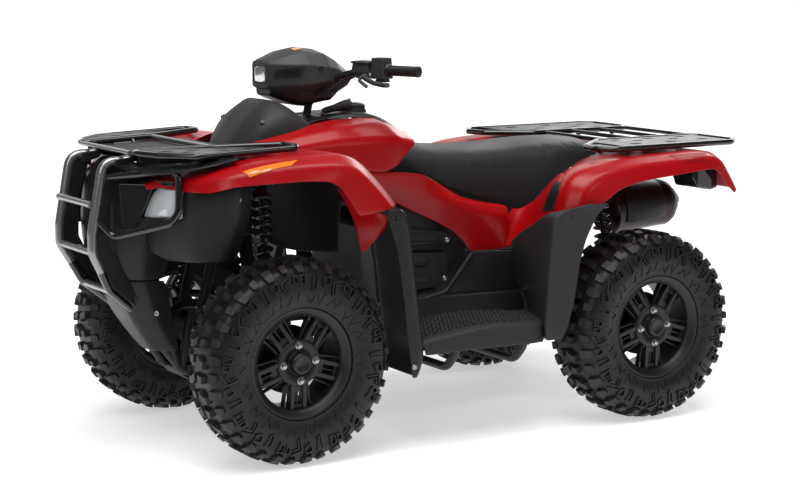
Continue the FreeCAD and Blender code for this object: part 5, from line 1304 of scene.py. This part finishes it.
flap_sections = cuts([
    (484, [(0, 1084), (44, 1084), (50, 1092), (50, 1108), (0, 1108)]),
    (455, [(0, 1072), (56, 1072), (66, 1082), (74, 1100), (0, 1102)]),
    (393, [(0, 1050), (60, 1050), (72, 1062), (86, 1102), (0, 1104)]),
    (345, [(0, 1046), (58, 1046), (72, 1058), (86, 1102), (0, 1104)]),
    (322, [(0, 1058), (60, 1060), (74, 1068), (84, 1104), (0, 1106)]),
    (273, [(0, 1060), (58, 1062), (72, 1070), (78, 1110), (0, 1112)]),
    (243, [(0, 1082), (52, 1084), (60, 1090), (64, 1120), (0, 1122)]),
])
pod = closed_shell("instrument_pod", pod_sections, pod_plastic, "steering")
closed_shell("pod_lower_flap", flap_sections, black_plastic, "steering")
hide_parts("head_pod")
for side, word in SIDES:
    inset = mm([(476, 100, 1168), (390, 100, 1177), (404, 100, 1146), (480, 100, 1142)], side)
    laid_plate("pod_side_inset_" + word, pod, inset, (0, -side, 0), 0.0024, black_plastic, "steering")
pod_marker = mm([(398, 26, 1240), (372, 26, 1240), (370, 50, 1240), (396, 50, 1240)])
laid_plate("pod_marker_lamp", pod, pod_marker, (0, 0, -1), 0.003, amber, "steering", 3, 3)
print("pod sections", len(pod_sections))

# %% [markdown]
# The racks are gloss black tube with a stamped plate on each side. The plate is a flat outline
# with oval holes, drawn as a filled curve and given a thickness, so the holes are real.

# %% Racks
def oval(x, y, long, wide, steps=16):
    """Points of an oval about a place."""
    return [(x + long * math.cos(2 * math.pi * k / steps), y + wide * math.sin(2 * math.pi * k / steps))
            for k in range(steps)]


def stamped_plate(name, outline, holes, z, wall=0.004):
    """Flat plates on both sides, cut out of filled curves with holes."""
    curve = bpy.data.curves.new(name, "CURVE")
    curve.dimensions = "2D"
    curve.fill_mode = "BOTH"
    curve.extrude = wall / 2
    curve.bevel_depth = 0.0007
    for side in (1, -1):
        for line in [outline] + holes:
            add_line(curve, [(x, y * side, 0) for x, y in line], True)
    mesh = curve_mesh(name, curve)
    mesh.transform(Matrix.Translation((0, 0, z)))
    return place_piece(name, mesh, black_plastic, "chassis", smooth=False)


front_wing = mm([(1036, 185, 942), (985, 292, 940), (900, 386, 940), (566, 396, 952), (572, 304, 954),
                 (770, 226, 948)])
rear_wing = mm([(-552, 388, 891), (-590, 444, 892), (-1085, 440, 893), (-1134, 396, 893),
                (-1134, 215, 893), (-1100, 190, 893), (-700, 190, 893), (-566, 310, 892)])
front_wings = bent_tube("front_rack_rails", mirrored([front_wing]), 0.010, tube_gloss, "chassis",
                        bend=0.03, closed=True, sides=16)
rear_wings = bent_tube("rear_rack_rails", mirrored([rear_wing]), 0.010, tube_gloss, "chassis",
                       bend=0.03, closed=True, sides=16)
front_bars = mm_rows([
    [(1030, -190, 942), (1030, 190, 942)],
    [(772, -228, 948), (772, 228, 948)],
])
front_legs = [[(0.846, 0.214, 0.946), (0.838, 0.076, 0.822)]]
rear_bars = [[(x, -0.194, 0.893), (x, 0.194, 0.893)] for x in (-1.124, -1.000, -0.870, -0.752)]
rear_legs = mm_rows([
    [(-870, 150, 893), (-870, 82, 716)],
    [(-1000, 120, 893), (-975, 80, 742)],
])
# the front rack's bars take the light grey finish as painted reflection on their gloss black tube
bent_tube("front_rack_bars", front_bars, 0.0075, tube_painted_reflection, "chassis", sides=16)
bent_tube("front_rack_legs", mirrored(front_legs), 0.007, tube_gloss, "chassis")
bent_tube("rear_rack_bars", rear_bars, 0.0075, tube_gloss, "chassis", sides=16)
bent_tube("rear_rack_legs", mirrored(rear_legs), 0.007, tube_gloss, "chassis")
front_outline = mm([(1022, 206), (980, 290), (898, 376), (640, 386), (640, 290), (775, 236)])
front_holes = [oval(*hole) for hole in mm([(950, 282, 22, 10), (905, 330, 24, 10), (868, 282, 26, 10),
                                           (800, 345, 24, 10), (775, 285, 24, 10), (700, 330, 26, 12),
                                           (985, 238, 16, 8)])]
rear_outline = mm([(-640, 434), (-1080, 430), (-1100, 392), (-1100, 200), (-710, 200), (-640, 260)])
rear_holes = [oval(*hole) for hole in mm([(-1020, 240, 26, 12), (-1030, 350, 24, 14), (-955, 290, 24, 12),
                                          (-880, 370, 26, 14), (-880, 240, 26, 12), (-800, 290, 24, 12),
                                          (-730, 370, 26, 14), (-740, 240, 22, 12)])]
stamped_plate("front_rack_plates", front_outline, front_holes, 0.9475)
stamped_plate("rear_rack_plates", rear_outline, rear_holes, 0.8965)
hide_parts("front_rack")
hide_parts("rear_rack")
tray_rows = cuts([
    (1012, [(196, 902), (192, 926), (184, 930), (0, 931)]),
    (850, [(206, 902), (202, 928), (194, 932), (0, 933)]),
    (655, [(222, 902), (218, 930), (210, 934), (0, 936)]),
])
moulded_panel("front_tray", cut_rows(tray_rows, ACROSS, True), charcoal, "chassis", "rack_black",
              sharp=(1, 2, 4, 5), sharpness=0.9)
cover_rows = mm_rows([
    [(1046, 150, 880), (1022, 240, 878), (962, 360, 887), (870, 424, 912), (800, 440, 930)],
    [(1050, 140, 904), (1016, 292, 897), (952, 388, 901), (848, 428, 924), (789, 440, 936)],
    [(990, 140, 912), (950, 230, 912), (900, 290, 914), (840, 340, 930), (780, 380, 937)],
])
covers = panel_pair("front_fender_cover", cover_rows, black_plastic, "chassis", "black_plastic")
print("rack pieces ready, cover plates", len(covers))

# %% [markdown]
# The front guard is gloss black tube in front of black plates; its uprights and cross bars get a
# light grey metal finish as painted reflection, so it is drawn again as separate pieces. A bent
# tube is a curve with a round section.

# %% Front guard
guard_upright = mm([(1008, 130, 914), (1092, 130, 912), (1131, 130, 700), (1131, 130, 640),
                    (1098, 118, 580)])
guard_foot = mm([(1102, 119.5, 588), (1068, 106, 522), (985, 80, 452)])
guard_loop = mm([(1084, 128, 866), (942, 345, 900), (948, 352, 776), (966, 338, 742), (1078, 168, 688),
                 (1118, 132, 742)])
guard_bars = mm_rows([
    [(1131, -128, 786), (1131, 128, 786)],
    [(1128, -128, 640), (1128, 128, 640)],
    [(1062, -102, 514), (1062, 102, 514)],
])
# the uprights take the light grey finish as painted reflection on gloss black tube
uprights = bent_tube("guard_uprights", mirrored([guard_upright]), 0.015, tube_painted_reflection, "chassis",
                     bend=0.045, sides=20)
bent_tube("guard_feet", mirrored([guard_foot]), 0.0148, tube_gloss, "chassis", bend=0.045,
          sides=20)
bent_tube("guard_loops", mirrored([guard_loop]), 0.011, tube_gloss, "chassis", bend=0.034,
          sides=16)
# the cross bars take the light grey finish as painted reflection on gloss black tube
bent_tube("guard_cross_bars", guard_bars, 0.011, tube_painted_reflection, "chassis", sides=16)
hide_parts("front_guard")


def slab(shape, near, far):
    """Adds a closed slab between two outlines of as many points."""
    rings = [[shape.verts.new(point) for point in outline] for outline in (near, far)]
    shape.faces.new(rings[0])
    shape.faces.new(rings[1][::-1])
    ring_faces(shape, rings)


def side_plates(name, outline, y_out, y_in, bevel=0.0015):
    """Upright plates along the machine, one on each side, from an outline of (x, z)."""
    shape = bmesh.new()
    for side in (1, -1):
        slab(shape, *[[(x, side * y, z) for x, z in outline] for y in (y_out, y_in)])
    return mesh_piece(name, shape, black_plastic, "chassis", bevel=bevel)


side_plates("guard_webs", mm([(1076, 905), (1112, 800), (1126, 700), (1126, 650), (1064, 526), (990, 462),
                              (1010, 540), (1072, 660), (1068, 790), (1030, 895)]),
            0.127, 0.121)
side_plates("guard_top_brackets", mm([(1060, 918), (1012, 924), (990, 938), (982, 930), (1000, 902),
                                      (1052, 886)]),
            0.147, 0.113, 0.003)
print("guard tubes ready")

# %% [markdown]
# Each headlamp is a clear lens over a bright bowl in a dark housing. The lens and the bowl
# follow the level cuts of the CAD lamp, the bowl a little smaller.

# %% Headlamps
headlamp_sections = cuts([
    (750, [(905, 205), (1004, 212), (964, 328), (905, 340)]),
    (800, [(900, 215), (992, 228), (964, 332), (900, 342)]),
    (842, [(890, 235), (973, 248), (956, 332), (892, 345)]),
])


def lamp_rows(table, share):
    """Level cuts of the lamp drawn in towards its back by a share."""
    rows = []
    middle_z = (table[0][0] + table[-1][0]) / 2
    for z, line in table:
        back = (Vector(line[0]) + Vector(line[-1])) / 2
        row = []
        for x, y in line:
            spot = Vector((x, y)).lerp(back, 1 - share)
            row.append(Vector((spot.x, spot.y, middle_z + (z - middle_z) * share)))
        rows.append(row)
    return rows


lenses = panel_pair("headlamp_lens", lamp_rows(headlamp_sections, 0.99), clear_lens, "chassis",
                    "lamp_clear", wall=0.002, sharp=(1, 2), sharpness=0.7)
panel_pair("headlamp_bowl", lamp_rows(headlamp_sections, 0.86), lamp_bowl, "chassis", "lamp_clear",
           wall=0.002, sharp=(1, 2), sharpness=0.4)
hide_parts("headlamps")
surround_quads = mm_rows([
    [(1060, 172, 850), (974, 240, 848), (1007, 208, 744), (1054, 176, 742)],
    [(1054, 176, 746), (1007, 208, 748), (968, 330, 760), (962, 332, 748), (1050, 178, 694)],
    [(975, 244, 846), (958, 332, 852), (950, 336, 866), (985, 240, 860)],
])
for side, word in SIDES:
    shape = bmesh.new()
    for quad in surround_quads:
        slab(shape, [(x, y * side, z) for x, y, z in quad],
             [(x - 0.050, (y - 0.030) * side, z) for x, y, z in quad])
    mesh_piece("headlamp_surround_" + word, shape, tube_gloss, "chassis", bevel=0.002)
print("headlamps ready")

# %% [markdown]
# The small lamp of the pod is a rounded square with its own frame.

# %% Pod lamp
lamp_outer = mm([(-51, 1109), (51, 1109), (55, 1116), (55, 1184), (46, 1191), (-46, 1191), (-55, 1184),
                 (-55, 1116)])
lamp_inner = mm([(-36, 1122), (36, 1122), (41, 1128), (41, 1170), (34, 1178), (-34, 1178), (-41, 1170),
                 (-41, 1128)])
lamp_middle = 1.150


def upright_rings(shape, lines):
    """Rings of (y, z) points at places along the machine, drawn in towards the lamp's middle."""
    rings = [[shape.verts.new((x, y * share, lamp_middle + (z - lamp_middle) * share)) for y, z in line]
             for line, share, x in lines]
    ring_faces(shape, rings)
    return rings


shape = bmesh.new()
upright_rings(shape, ((lamp_outer, 1.0, 0.481), (lamp_outer, 1.0, 0.494), (lamp_inner, 1.0, 0.498),
                      (lamp_inner, 1.0, 0.485)))
mesh_piece("pod_lamp_frame", shape, pod_plastic, "steering", bevel=0.0015)
shape = bmesh.new()
rings = upright_rings(shape, ((lamp_inner, 1.0, 0.489), (lamp_inner, 0.96, 0.4955),
                              (lamp_inner, 0.7, 0.4975)))
shape.faces.new(rings[-1])
pod_glass = mesh_piece("pod_lamp_lens", shape, lamp_bowl, "steering", smooth=True)
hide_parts("pod_lamp")
print("pod lamp ready")

# %% [markdown]
# A shock absorber is a damper inside a coil spring. The spring is a helix, so it is drawn as a
# curve that climbs as it turns, with a round wire section. The CAD model keeps a plain ribbed
# sleeve there.

# %% Shock absorbers
shock_ends = {
    "front": ((0.632, 0.2915, 0.4098), (0.640, 0.2830, 0.8360)),
    "rear": ((-0.665, 0.3200, 0.4045), (-0.655, 0.2620, 0.7400)),
}


def coil_route(foot, head, radius, turns, side):
    """Points of a helix between two ends."""
    foot, head = [Vector((x, y * side, z)) for x, y, z in (foot, head)]
    axis = (head - foot).normalized()
    across = axis.orthogonal().normalized()
    third = axis.cross(across)
    low = foot + axis * 0.045
    high = head - axis * 0.040
    route = []
    steps = int(turns * 18)
    for step in range(steps + 1):
        turn = 2 * math.pi * turns * step / steps
        route.append(low.lerp(high, step / steps)
                     + (across * math.cos(turn) + third * math.sin(turn)) * radius)
    return route


for word, (foot, head) in shock_ends.items():
    for side, hand in SIDES:
        route = coil_route(foot, head, 0.0275, 12 if word == "front" else 9, side)
        bent_tube("spring_%s_%s" % (word, hand), [route], 0.0048, tube_gloss, "chassis",
                                 bend=0.0001, sides=10)
        a, b = [Vector((x, y * side, z)) for x, y, z in (foot, head)]
        run = (b - a).length
        turned_piece("damper_%s_%s" % (word, hand),
                     mm([(10, 1), (10, 17), (30, 17), (34, 31), (40, 31), (43, 20)])
                     + [(run * 0.55, 0.0195), (run * 0.56, 0.0075)]
                     + [(run - back, r) for back, r in mm([(45, 7.5), (42, 31), (34, 31), (30, 18),
                                                           (10, 16), (10, 1)])],
                     a, b - a, frame_paint, "chassis", 28)
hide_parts("shocks")

# %% [markdown]
# Between the footwell's mudguards the engine shows through a charcoal side cover with two
# rounded lumps, one above the other, and two bolts. The lumps are half rounds laid lengthways.

# %% Engine side covers
def half_round(shape, start, stop, radius, out, squash, steps=10):
    """Adds a half-round bar between two points, bulging along the direction out."""
    start = Vector(start)
    stop = Vector(stop)
    out = Vector(out)
    up = (stop - start).cross(out).normalized()
    rows = []
    for part, share in ((0.0, 0.55), (0.06, 0.92), (0.12, 1.0), (0.88, 1.0), (0.94, 0.92), (1.0, 0.55)):
        spot = start.lerp(stop, part)
        rows.append([shape.verts.new(spot + up * (radius * share * math.cos(math.pi * k / steps))
                                     + out * (radius * squash * share * math.sin(math.pi * k / steps)))
                     for k in range(steps + 1)])
    ring_faces(shape, rows, closed=False)
    shape.faces.new(rows[0])
    shape.faces.new(rows[-1])


def side_block(shape, outline, side, y_in, y_out, draft=0.006):
    """Adds a moulded block: an outline of (x, z) raised sideways with a little draft."""
    middle_x = sum(x for x, z in outline) / len(outline)
    middle_z = sum(z for x, z in outline) / len(outline)
    low = [shape.verts.new((x, side * y_in, z)) for x, z in outline]
    high = []
    for x, z in outline:
        run = Vector((middle_x - x, middle_z - z))
        run = run.normalized() * min(draft, run.length)
        high.append(shape.verts.new((x + run.x, side * y_out, z + run.y)))
    shape.faces.new(high)
    shape.faces.new(low[::-1])
    ring_faces(shape, [low, high])


plate = mm([(130, 735), (0, 690), (-60, 640), (-112, 612), (-140, 560), (-150, 545), (-89, 477),
            (-58, 440), (26, 424), (130, 424)])
upper_lump = mm([(120, 664), (56, 650), (-60, 634), (-88, 622), (-98, 606), (-78, 592), (48, 586),
                 (120, 590)])
lower_lump = mm([(120, 578), (40, 575), (-66, 568), (-76, 556), (-78, 480), (-62, 452), (-48, 444),
                 (120, 444)])
cover_ribs = (
    ([(110, 226, 626), (-50, 226, 614)], 0.020, 0.5), ([(110, 226, 540), (4, 226, 534)], 0.015, 0.8),
    ([(110, 226, 476), (-10, 226, 470)], 0.013, 0.8), ([(36, 214, 432), (-40, 214, 438)], 0.009, 0.75),
)
for side, word in SIDES:
    shape = bmesh.new()
    side_block(shape, plate, side, 0.168, 0.205, 0.004)
    side_block(shape, upper_lump, side, 0.200, 0.232, 0.012)
    side_block(shape, lower_lump, side, 0.200, 0.230, 0.010)
    for ends, radius, squash in cover_ribs:
        half_round(shape, *mm(ends, side), radius, (0, side, 0), squash)
    covers = mesh_piece("engine_side_cover_" + word, shape, black_plastic, "chassis",
                        bevel=0.004)
    if side > 0:
        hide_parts("engine_covers")
print("engine side covers ready")

# %% [markdown]
# The inner wall of the footwell closes the machine's side from the floor to the red panel. It
# has a raised border that runs down behind the engine cover and then forwards.

# %% Inner walls of the footwells
inner_wall_rows = cuts([
    (352, [(232, 300), (120, 292), (-20, 290), (-140, 292), (-346, 300)]),
    (400, [(230, 288), (120, 264), (-20, 258), (-140, 262), (-350, 294)]),
    (424, [(228, 276), (130, 250), (26, 246), (-140, 252), (-354, 288)]),
    (446, [(227, 270), (150, 242), (-62, 242), (-150, 250), (-356, 286)]),
    (478, [(226, 268), (170, 238), (-90, 240), (-165, 248), (-350, 282)]),
    (562, [(232, 264), (186, 236), (-156, 236), (-200, 240), (-332, 274)]),
    (600, [(240, 262), (196, 238), (-170, 234), (-220, 240), (-286, 270)]),
    (660, [(246, 262), (204, 238), (-180, 226), (-236, 232), (-296, 262)]),
])
ridge_line = mm([(-158, 556), (-96, 482), (-66, 446), (-52, 434), (26, 418), (170, 418)])
for side, word in SIDES:
    wall = cut_rows(inner_wall_rows, LEVEL)
    for part, rows in (("rear", [row[2:] for row in wall[2:6]]), ("front", [row[:2] for row in wall[2:]]),
                       ("low", wall[:3])):
        moulded_panel("inner_wall_%s_%s" % (part, word), rows if side > 0 else other_side(rows),
                      black_plastic, "chassis", "charcoal_plastic", 0.004)
    ridge = [(x, 0.243 * side, z) for x, z in ridge_line]
    bent_tube("inner_wall_ridge_" + word, [ridge], 0.0075, black_plastic, "chassis",
              bend=0.02)
print("inner walls ready")

# %% [markdown]
# The exhaust is an oval steel canister at the left of the tail with a pipe to the engine. Its
# ends are rolled, so it is turned with a rounded profile and a seam ring.

# %% Exhaust
can_start = Vector((-0.715, 0.176, 0.640))
can_run = (Vector((-1.060, 0.176, 0.672)) - can_start).normalized()
canister = turned_piece("exhaust_canister",
                        mm([(0, 10), (0, 34), (12, 52), (30, 74), (40, 80), (46, 81.5), (52, 80),
                            (60, 80), (262, 80), (268, 81.5), (275, 81.5), (281, 79.5), (294, 74),
                            (310, 58), (320, 50), (322, 26), (346, 22), (346, 18), (312, 18)]),
                        can_start, can_run, exhaust_steel, "chassis", 56)
bent_tube("exhaust_pipe", [mm([(-200, 100, 560), (-330, 140, 560), (-520, 172, 560)])
                           + [can_start - can_run * 0.028, can_start + can_run * 0.05]],
          0.019, exhaust_steel, "chassis", bend=0.045, sides=20)
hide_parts("exhaust")
shield = []
for part in (0.070, 0.110, 0.200, 0.240):
    ring = []
    for step in range(9):
        turn = math.radians(-25 + step * 16)
        spot = can_start + can_run * part
        out = 0.088 if 0.08 < part < 0.22 else 0.0835
        ring.append(spot + Vector((0, math.cos(turn), math.sin(turn))) * out)
    shield.append(ring)
moulded_panel("exhaust_shield", shield, frame_paint, "chassis", "exhaust_steel", wall=0.002, sharp=(0, 8),
              sharpness=0.8)
print("exhaust ready")

# %% [markdown]
# Each grip is a ribbed rubber sleeve with a flange at its inner end. The ribs are part of the
# turned profile.

# %% Grips
grip_end = Vector((0.149, 0.400, 1.167))
grip_run = (grip_end - Vector((0.222, 0.215, 1.168))).normalized()
grip_start = grip_end - grip_run * 0.118


def on_side(place, side):
    """A place or direction, on the left as it is or mirrored to the right."""
    return Vector((place[0], place[1] * side, place[2]))


grip_profile = mm([(0, 11.5), (0, 21.5), (4, 21.5), (6, 16.5)])
for rib in range(11):
    start = 0.010 + rib * 0.0092
    grip_profile += [(start, 0.0158), (start + 0.0014, 0.0168), (start + 0.0066, 0.0168),
                     (start + 0.0080, 0.0158)]
grip_profile += mm([(112.5, 16.5), (114, 17.5), (120.5, 17.5), (122, 15.5), (122, 1)])
for side, word in SIDES:
    grip = turned_piece("rubber_grip_" + word, grip_profile, on_side(grip_start, side),
                        on_side(grip_run, side), tyre_rubber, "steering", 40)
    if side > 0:
        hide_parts("grips")
lever_foot = Vector((0.296, 0.062, 1.0300))
lever_run = Vector((0.214, 0.062, 1.0460)) - lever_foot
turned_piece("gear_lever_grip",
             mm([(-4, 0.5), (-4, 8.5), (4, 10.5), (40, 12), (60, 15), (78, 17.2), (92, 16.5), (100, 11),
                 (102, 0.5)]), lever_foot,
             lever_run, charcoal, "chassis", 40)
print("grips ready")

# %% [markdown]
# Beside each grip sits a switch housing, a lever with its clamp, and a small fluid reservoir.
# They are moulded blocks with soft edges, so small tapered blocks with a bevel are enough.

# %% Bar controls
# each block has a taper, its place from the middle of the housing or clamp, and its sizes
housing_blocks = ((0.86, [(0, 0, 6), (56, 52, 66)]), (0.75, [(-4, 0, -30), (40, 34, 16)]),
                  (0.70, [(-26, 0, 4), (22, 22, 18)]), (0.70, [(10, 0, 36), (20, 20, 8)]))
clamp_blocks = ((0.86, [(14, 0, 6), (66, 62, 32)]), (0.93, [(14, 0, 24), (70, 66, 8)]), (0.80, [(20, 0, -14),
                                                                                (36, 34, 26)]))
for side, word in SIDES:
    shape = bmesh.new()
    turn = on_side(grip_run, side)
    frame_turn = turn.to_track_quat("X", "Z").to_matrix()
    middle = on_side(grip_start, side) - turn * 0.026
    inner = middle - turn * 0.052
    for start, blocks in ((middle, housing_blocks), (inner, clamp_blocks)):
        for taper, block in blocks:
            offset, sizes = mm(block)
            block_mesh(shape, start + Vector(offset), sizes, taper, frame_turn)
    block_mesh(shape, inner - turn * 0.024, (0.020, 0.042, 0.042), 0.85, frame_turn)
    housing = mesh_piece("switch_housing_" + word, shape, pod_plastic, "steering",
                         bevel=0.0035)
    lever_line = mm([(226, 222, 1162), (268, 268, 1146), (262, 316, 1132), (246, 352, 1126),
                     (250, 384, 1128)], side)
    bent_tube("hand_lever_" + word, [lever_line], 0.0080, cast_alloy, "steering", bend=0.03)
    second_line = mm([(236, 228, 1160), (280, 258, 1138), (276, 300, 1120)], side)
    bent_tube("parking_lever_" + word, [second_line], 0.0060, cast_alloy, "steering",
              bend=0.02)
    cable_lines = [mm([(236, 190, 1156), (262, 150, 1140), (300, 120, 1104), (332, 72, 1092)], side),
                   mm([(244, 186, 1150), (284, 140, 1118), (320, 104, 1086), (350, 66, 1084)], side)]
    bent_tube("bar_cables_" + word, cable_lines, 0.0042, black_plastic, "steering",
              bend=0.06)
    if side > 0:
        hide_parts("bar_controls")
print("controls ready")

# %% [markdown]
# The amber side reflectors, a darker red plate that paints the shade of a recess in the tail, and a
# black strip on the heel panel follow the plastic they sit on, so they are laid on it: a small grid
# of points is looked up on the surface along one direction and lifted a little. Inside each tail
# sits a black lamp housing.

# %% Reflectors
for side, word in SIDES:
    hand = 0 if side > 0 else 1
    across = mm([(809, 500, 908), (631, 500, 921), (663, 515, 900), (795, 515, 887)], side)
    laid_plate("amber_reflector_" + word, front_fenders[hand], across, (-0.25, -side, -0.9), 0.0022, amber,
               "chassis", 14, 4)
    # the tail recess is a thin raised plate whose darker red is painted shade of the dent
    dent = mm([(-768, 505, 872), (-926, 502, 871), (-896, 545, 845), (-784, 546, 848)], side)
    laid_plate("tail_recess_" + word, rear_fenders[hand], dent, (0, -side, -0.5), 0.0010, deep_red,
               "chassis", 10, 4)
    label = mm([(-352, 392, 798), (-352, 456, 796), (-335, 448, 706), (-330, 380, 696)], side)
    laid_plate("heel_strip_" + word, aprons[hand], label, (-1, 0, -0.1), 0.0012, black_plastic, "chassis",
               4, 8)
    housing = bmesh.new()
    rows = []
    for x, low, high, y_in, y_out in mm([(-868, 792, 858, 392, 498), (-890, 752, 860, 384, 504),
                                         (-950, 742, 858, 382, 502), (-985, 746, 840, 384, 492)]):
        corners = (y_in, low), (y_out, low), (y_out, high), (y_in, high)
        rows.append([housing.verts.new((x, y * side, z)) for y, z in corners])
    ring_faces(housing, rows)
    housing.faces.new(rows[0])
    housing.faces.new(rows[-1][::-1])
    mesh_piece("tail_lamp_housing_" + word, housing, tube_gloss, "chassis", bevel=0.006)
print("reflectors ready")

# %% [markdown]
# Small fixings finish the panels: flat-headed bolts with a hex socket hold the shrouds, the
# mudguards and the engine covers. A bolt head is a short turned profile.

# %% Panel bolts
bolt_profile = mm([(0, 8.5), (1.5, 8.5), (3.5, 7.5), (4.2, 5.5), (4.2, 3.6), (2, 3.4), (2, 0.2)])
pod_foot = 1.05
panel_bolts = [
    ((865, 374, 806), (0.2, 1, 0), black_plastic), ((770, 392, 806), (0, 1, 0), bright_steel),
    ((930, 143, 440), (0.4, 1, 0), bright_steel), ((322, 566, 736), (-0.2, 1, 0), black_plastic),
    ((-326, 566, 700), (-0.1, 1, 0), black_plastic), ((-424, 568, 722), (-0.1, 1, 0), black_plastic),
    ((-66, 232, 604), (0, 1, 0), bright_steel), ((-58, 230, 478), (0, 1, 0), bright_steel),
    ((335, 114.5, 1170), (0, 1, 0), black_plastic), ((256, 553, 272), (0.1, 1, 0), bright_steel),
]
for number, (place, direction, material) in enumerate(panel_bolts):
    for side, word in SIDES:
        spot = mm([place], side)[0]
        body = "steering" if spot[2] > pod_foot else "chassis"
        turned_piece("panel_bolt_%d_%s" % (number, word), bolt_profile, spot,
                     on_side(direction, side), material, body, 20)
print("bolts", len(panel_bolts) * 2)

# %% [markdown]
# The CAD pieces that stay visible get their finish here: frame, arms, shafts, lever and the
# rest, which is black plastic. Their shapes are left as they are, and only the material slots
# are filled.

# %% Finishes for the CAD pieces
node_finish = {node: finish for finish, nodes in (
    (frame_paint, "frame front_arms rear_arms steering_shaft half_shafts hitch_plate"),
    (cast_alloy, "knuckle_left knuckle_right engine gearcases"),
    (tube_gloss, "tie_rod_left tie_rod_right gear_lever handlebar"),
    (red_lens, "tail_lamps"),
) for node in nodes.split()}
for name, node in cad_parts.items():
    if node.hide_render:
        continue
    finish = node_finish.get(name, black_plastic)
    if not node.material_slots:
        node.data.materials.append(finish)
    for holder in node.material_slots:
        holder.material = finish
print("CAD pieces shown", len([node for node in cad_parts.values() if not node.hide_render]))

# %% [markdown]
# The studio is a sheet of white paper that rolls up behind the machine, as in a product
# photograph. The paper glows a little, so that it stays white while the lights are kept low
# enough for black plastic to look black. The air itself gives only a dim fill.

# %% Studio
floor_paper = finish_material("floor_paper", grey(0.80), 0.85, grey(0.79), 0.05, grain=0.02)
set_inputs(floor_paper.node_tree.nodes["Principled BSDF"], {"Emission Color": (1.0, 1.0, 1.0, 1.0),
                                                            "Emission Strength": 0.50})
roll_start = 11.0
roll_radius = 4.0
roll_steps = 15


def paper_edges(run, rise):
    """Both edges of the paper, at a run along the camera's level direction."""
    return [(-0.518 * run - 0.855 * wide, -0.855 * run + 0.518 * wide, rise) for wide in (-16.0, 16.0)]


paper_points = paper_edges(-2.6, 0.0)
for step in range(roll_steps + 1):
    turn = math.radians(90) * step / roll_steps
    paper_points += paper_edges(roll_start + roll_radius * math.sin(turn),
                                roll_radius - roll_radius * math.cos(turn))
paper_points += paper_edges(roll_start + roll_radius, 12.0)
paper_faces = [(2 * k, 2 * k + 1, 2 * k + 3, 2 * k + 2) for k in range(roll_steps + 2)]
paper_mesh = mesh_of("studio_paper", paper_points, paper_faces)
for face in paper_mesh.polygons:
    face.use_smooth = True
paper_mesh.materials.append(floor_paper)
studio_paper = new_object("studio_paper", paper_mesh)
world = bpy.data.worlds.new("studio_air")
world.use_nodes = True
set_inputs(world.node_tree.nodes["Background"], {"Color": (1.0, 1.0, 1.0, 1.0), "Strength": 0.12})
bpy.context.scene.world = world


def aimed(direction):
    """The turn that points a lamp along a direction."""
    return Vector(direction).to_track_quat("-Z", "Y").to_euler()


def soft_light(name, place, towards, wide, high, power):
    """A rectangular soft light aimed at a point."""
    data = bpy.data.lights.new(name, "AREA")
    data.shape = "RECTANGLE"
    data.size = wide
    data.size_y = high
    data.energy = power
    lamp = new_object(name, data)
    lamp.location = place
    lamp.rotation_euler = aimed(Vector(towards) - Vector(place))


soft_light("top_light", (0.0, 0.5, 3.4), (0, 0, 0.5), 3.2, 1.4, 62)
soft_light("front_left_light", (3.6, 2.0, 2.4), (0.3, 0, 0.6), 1.4, 1.4, 22)
soft_light("side_light", (-1.2, 4.4, 2.2), (-0.3, 0.2, 0.6), 1.8, 0.9, 14)
soft_light("rear_light", (-3.4, -2.4, 2.6), (0, 0, 0.7), 1.8, 1.2, 30)
sky_data = bpy.data.lights.new("high_light", "SUN")
sky_data.energy = 1.9
sky_data.angle = math.radians(50)
new_object("high_light", sky_data).rotation_euler = aimed((-0.25, -0.30, -1.0))
bpy.context.scene.view_settings.view_transform = "Standard"
print("studio ready")
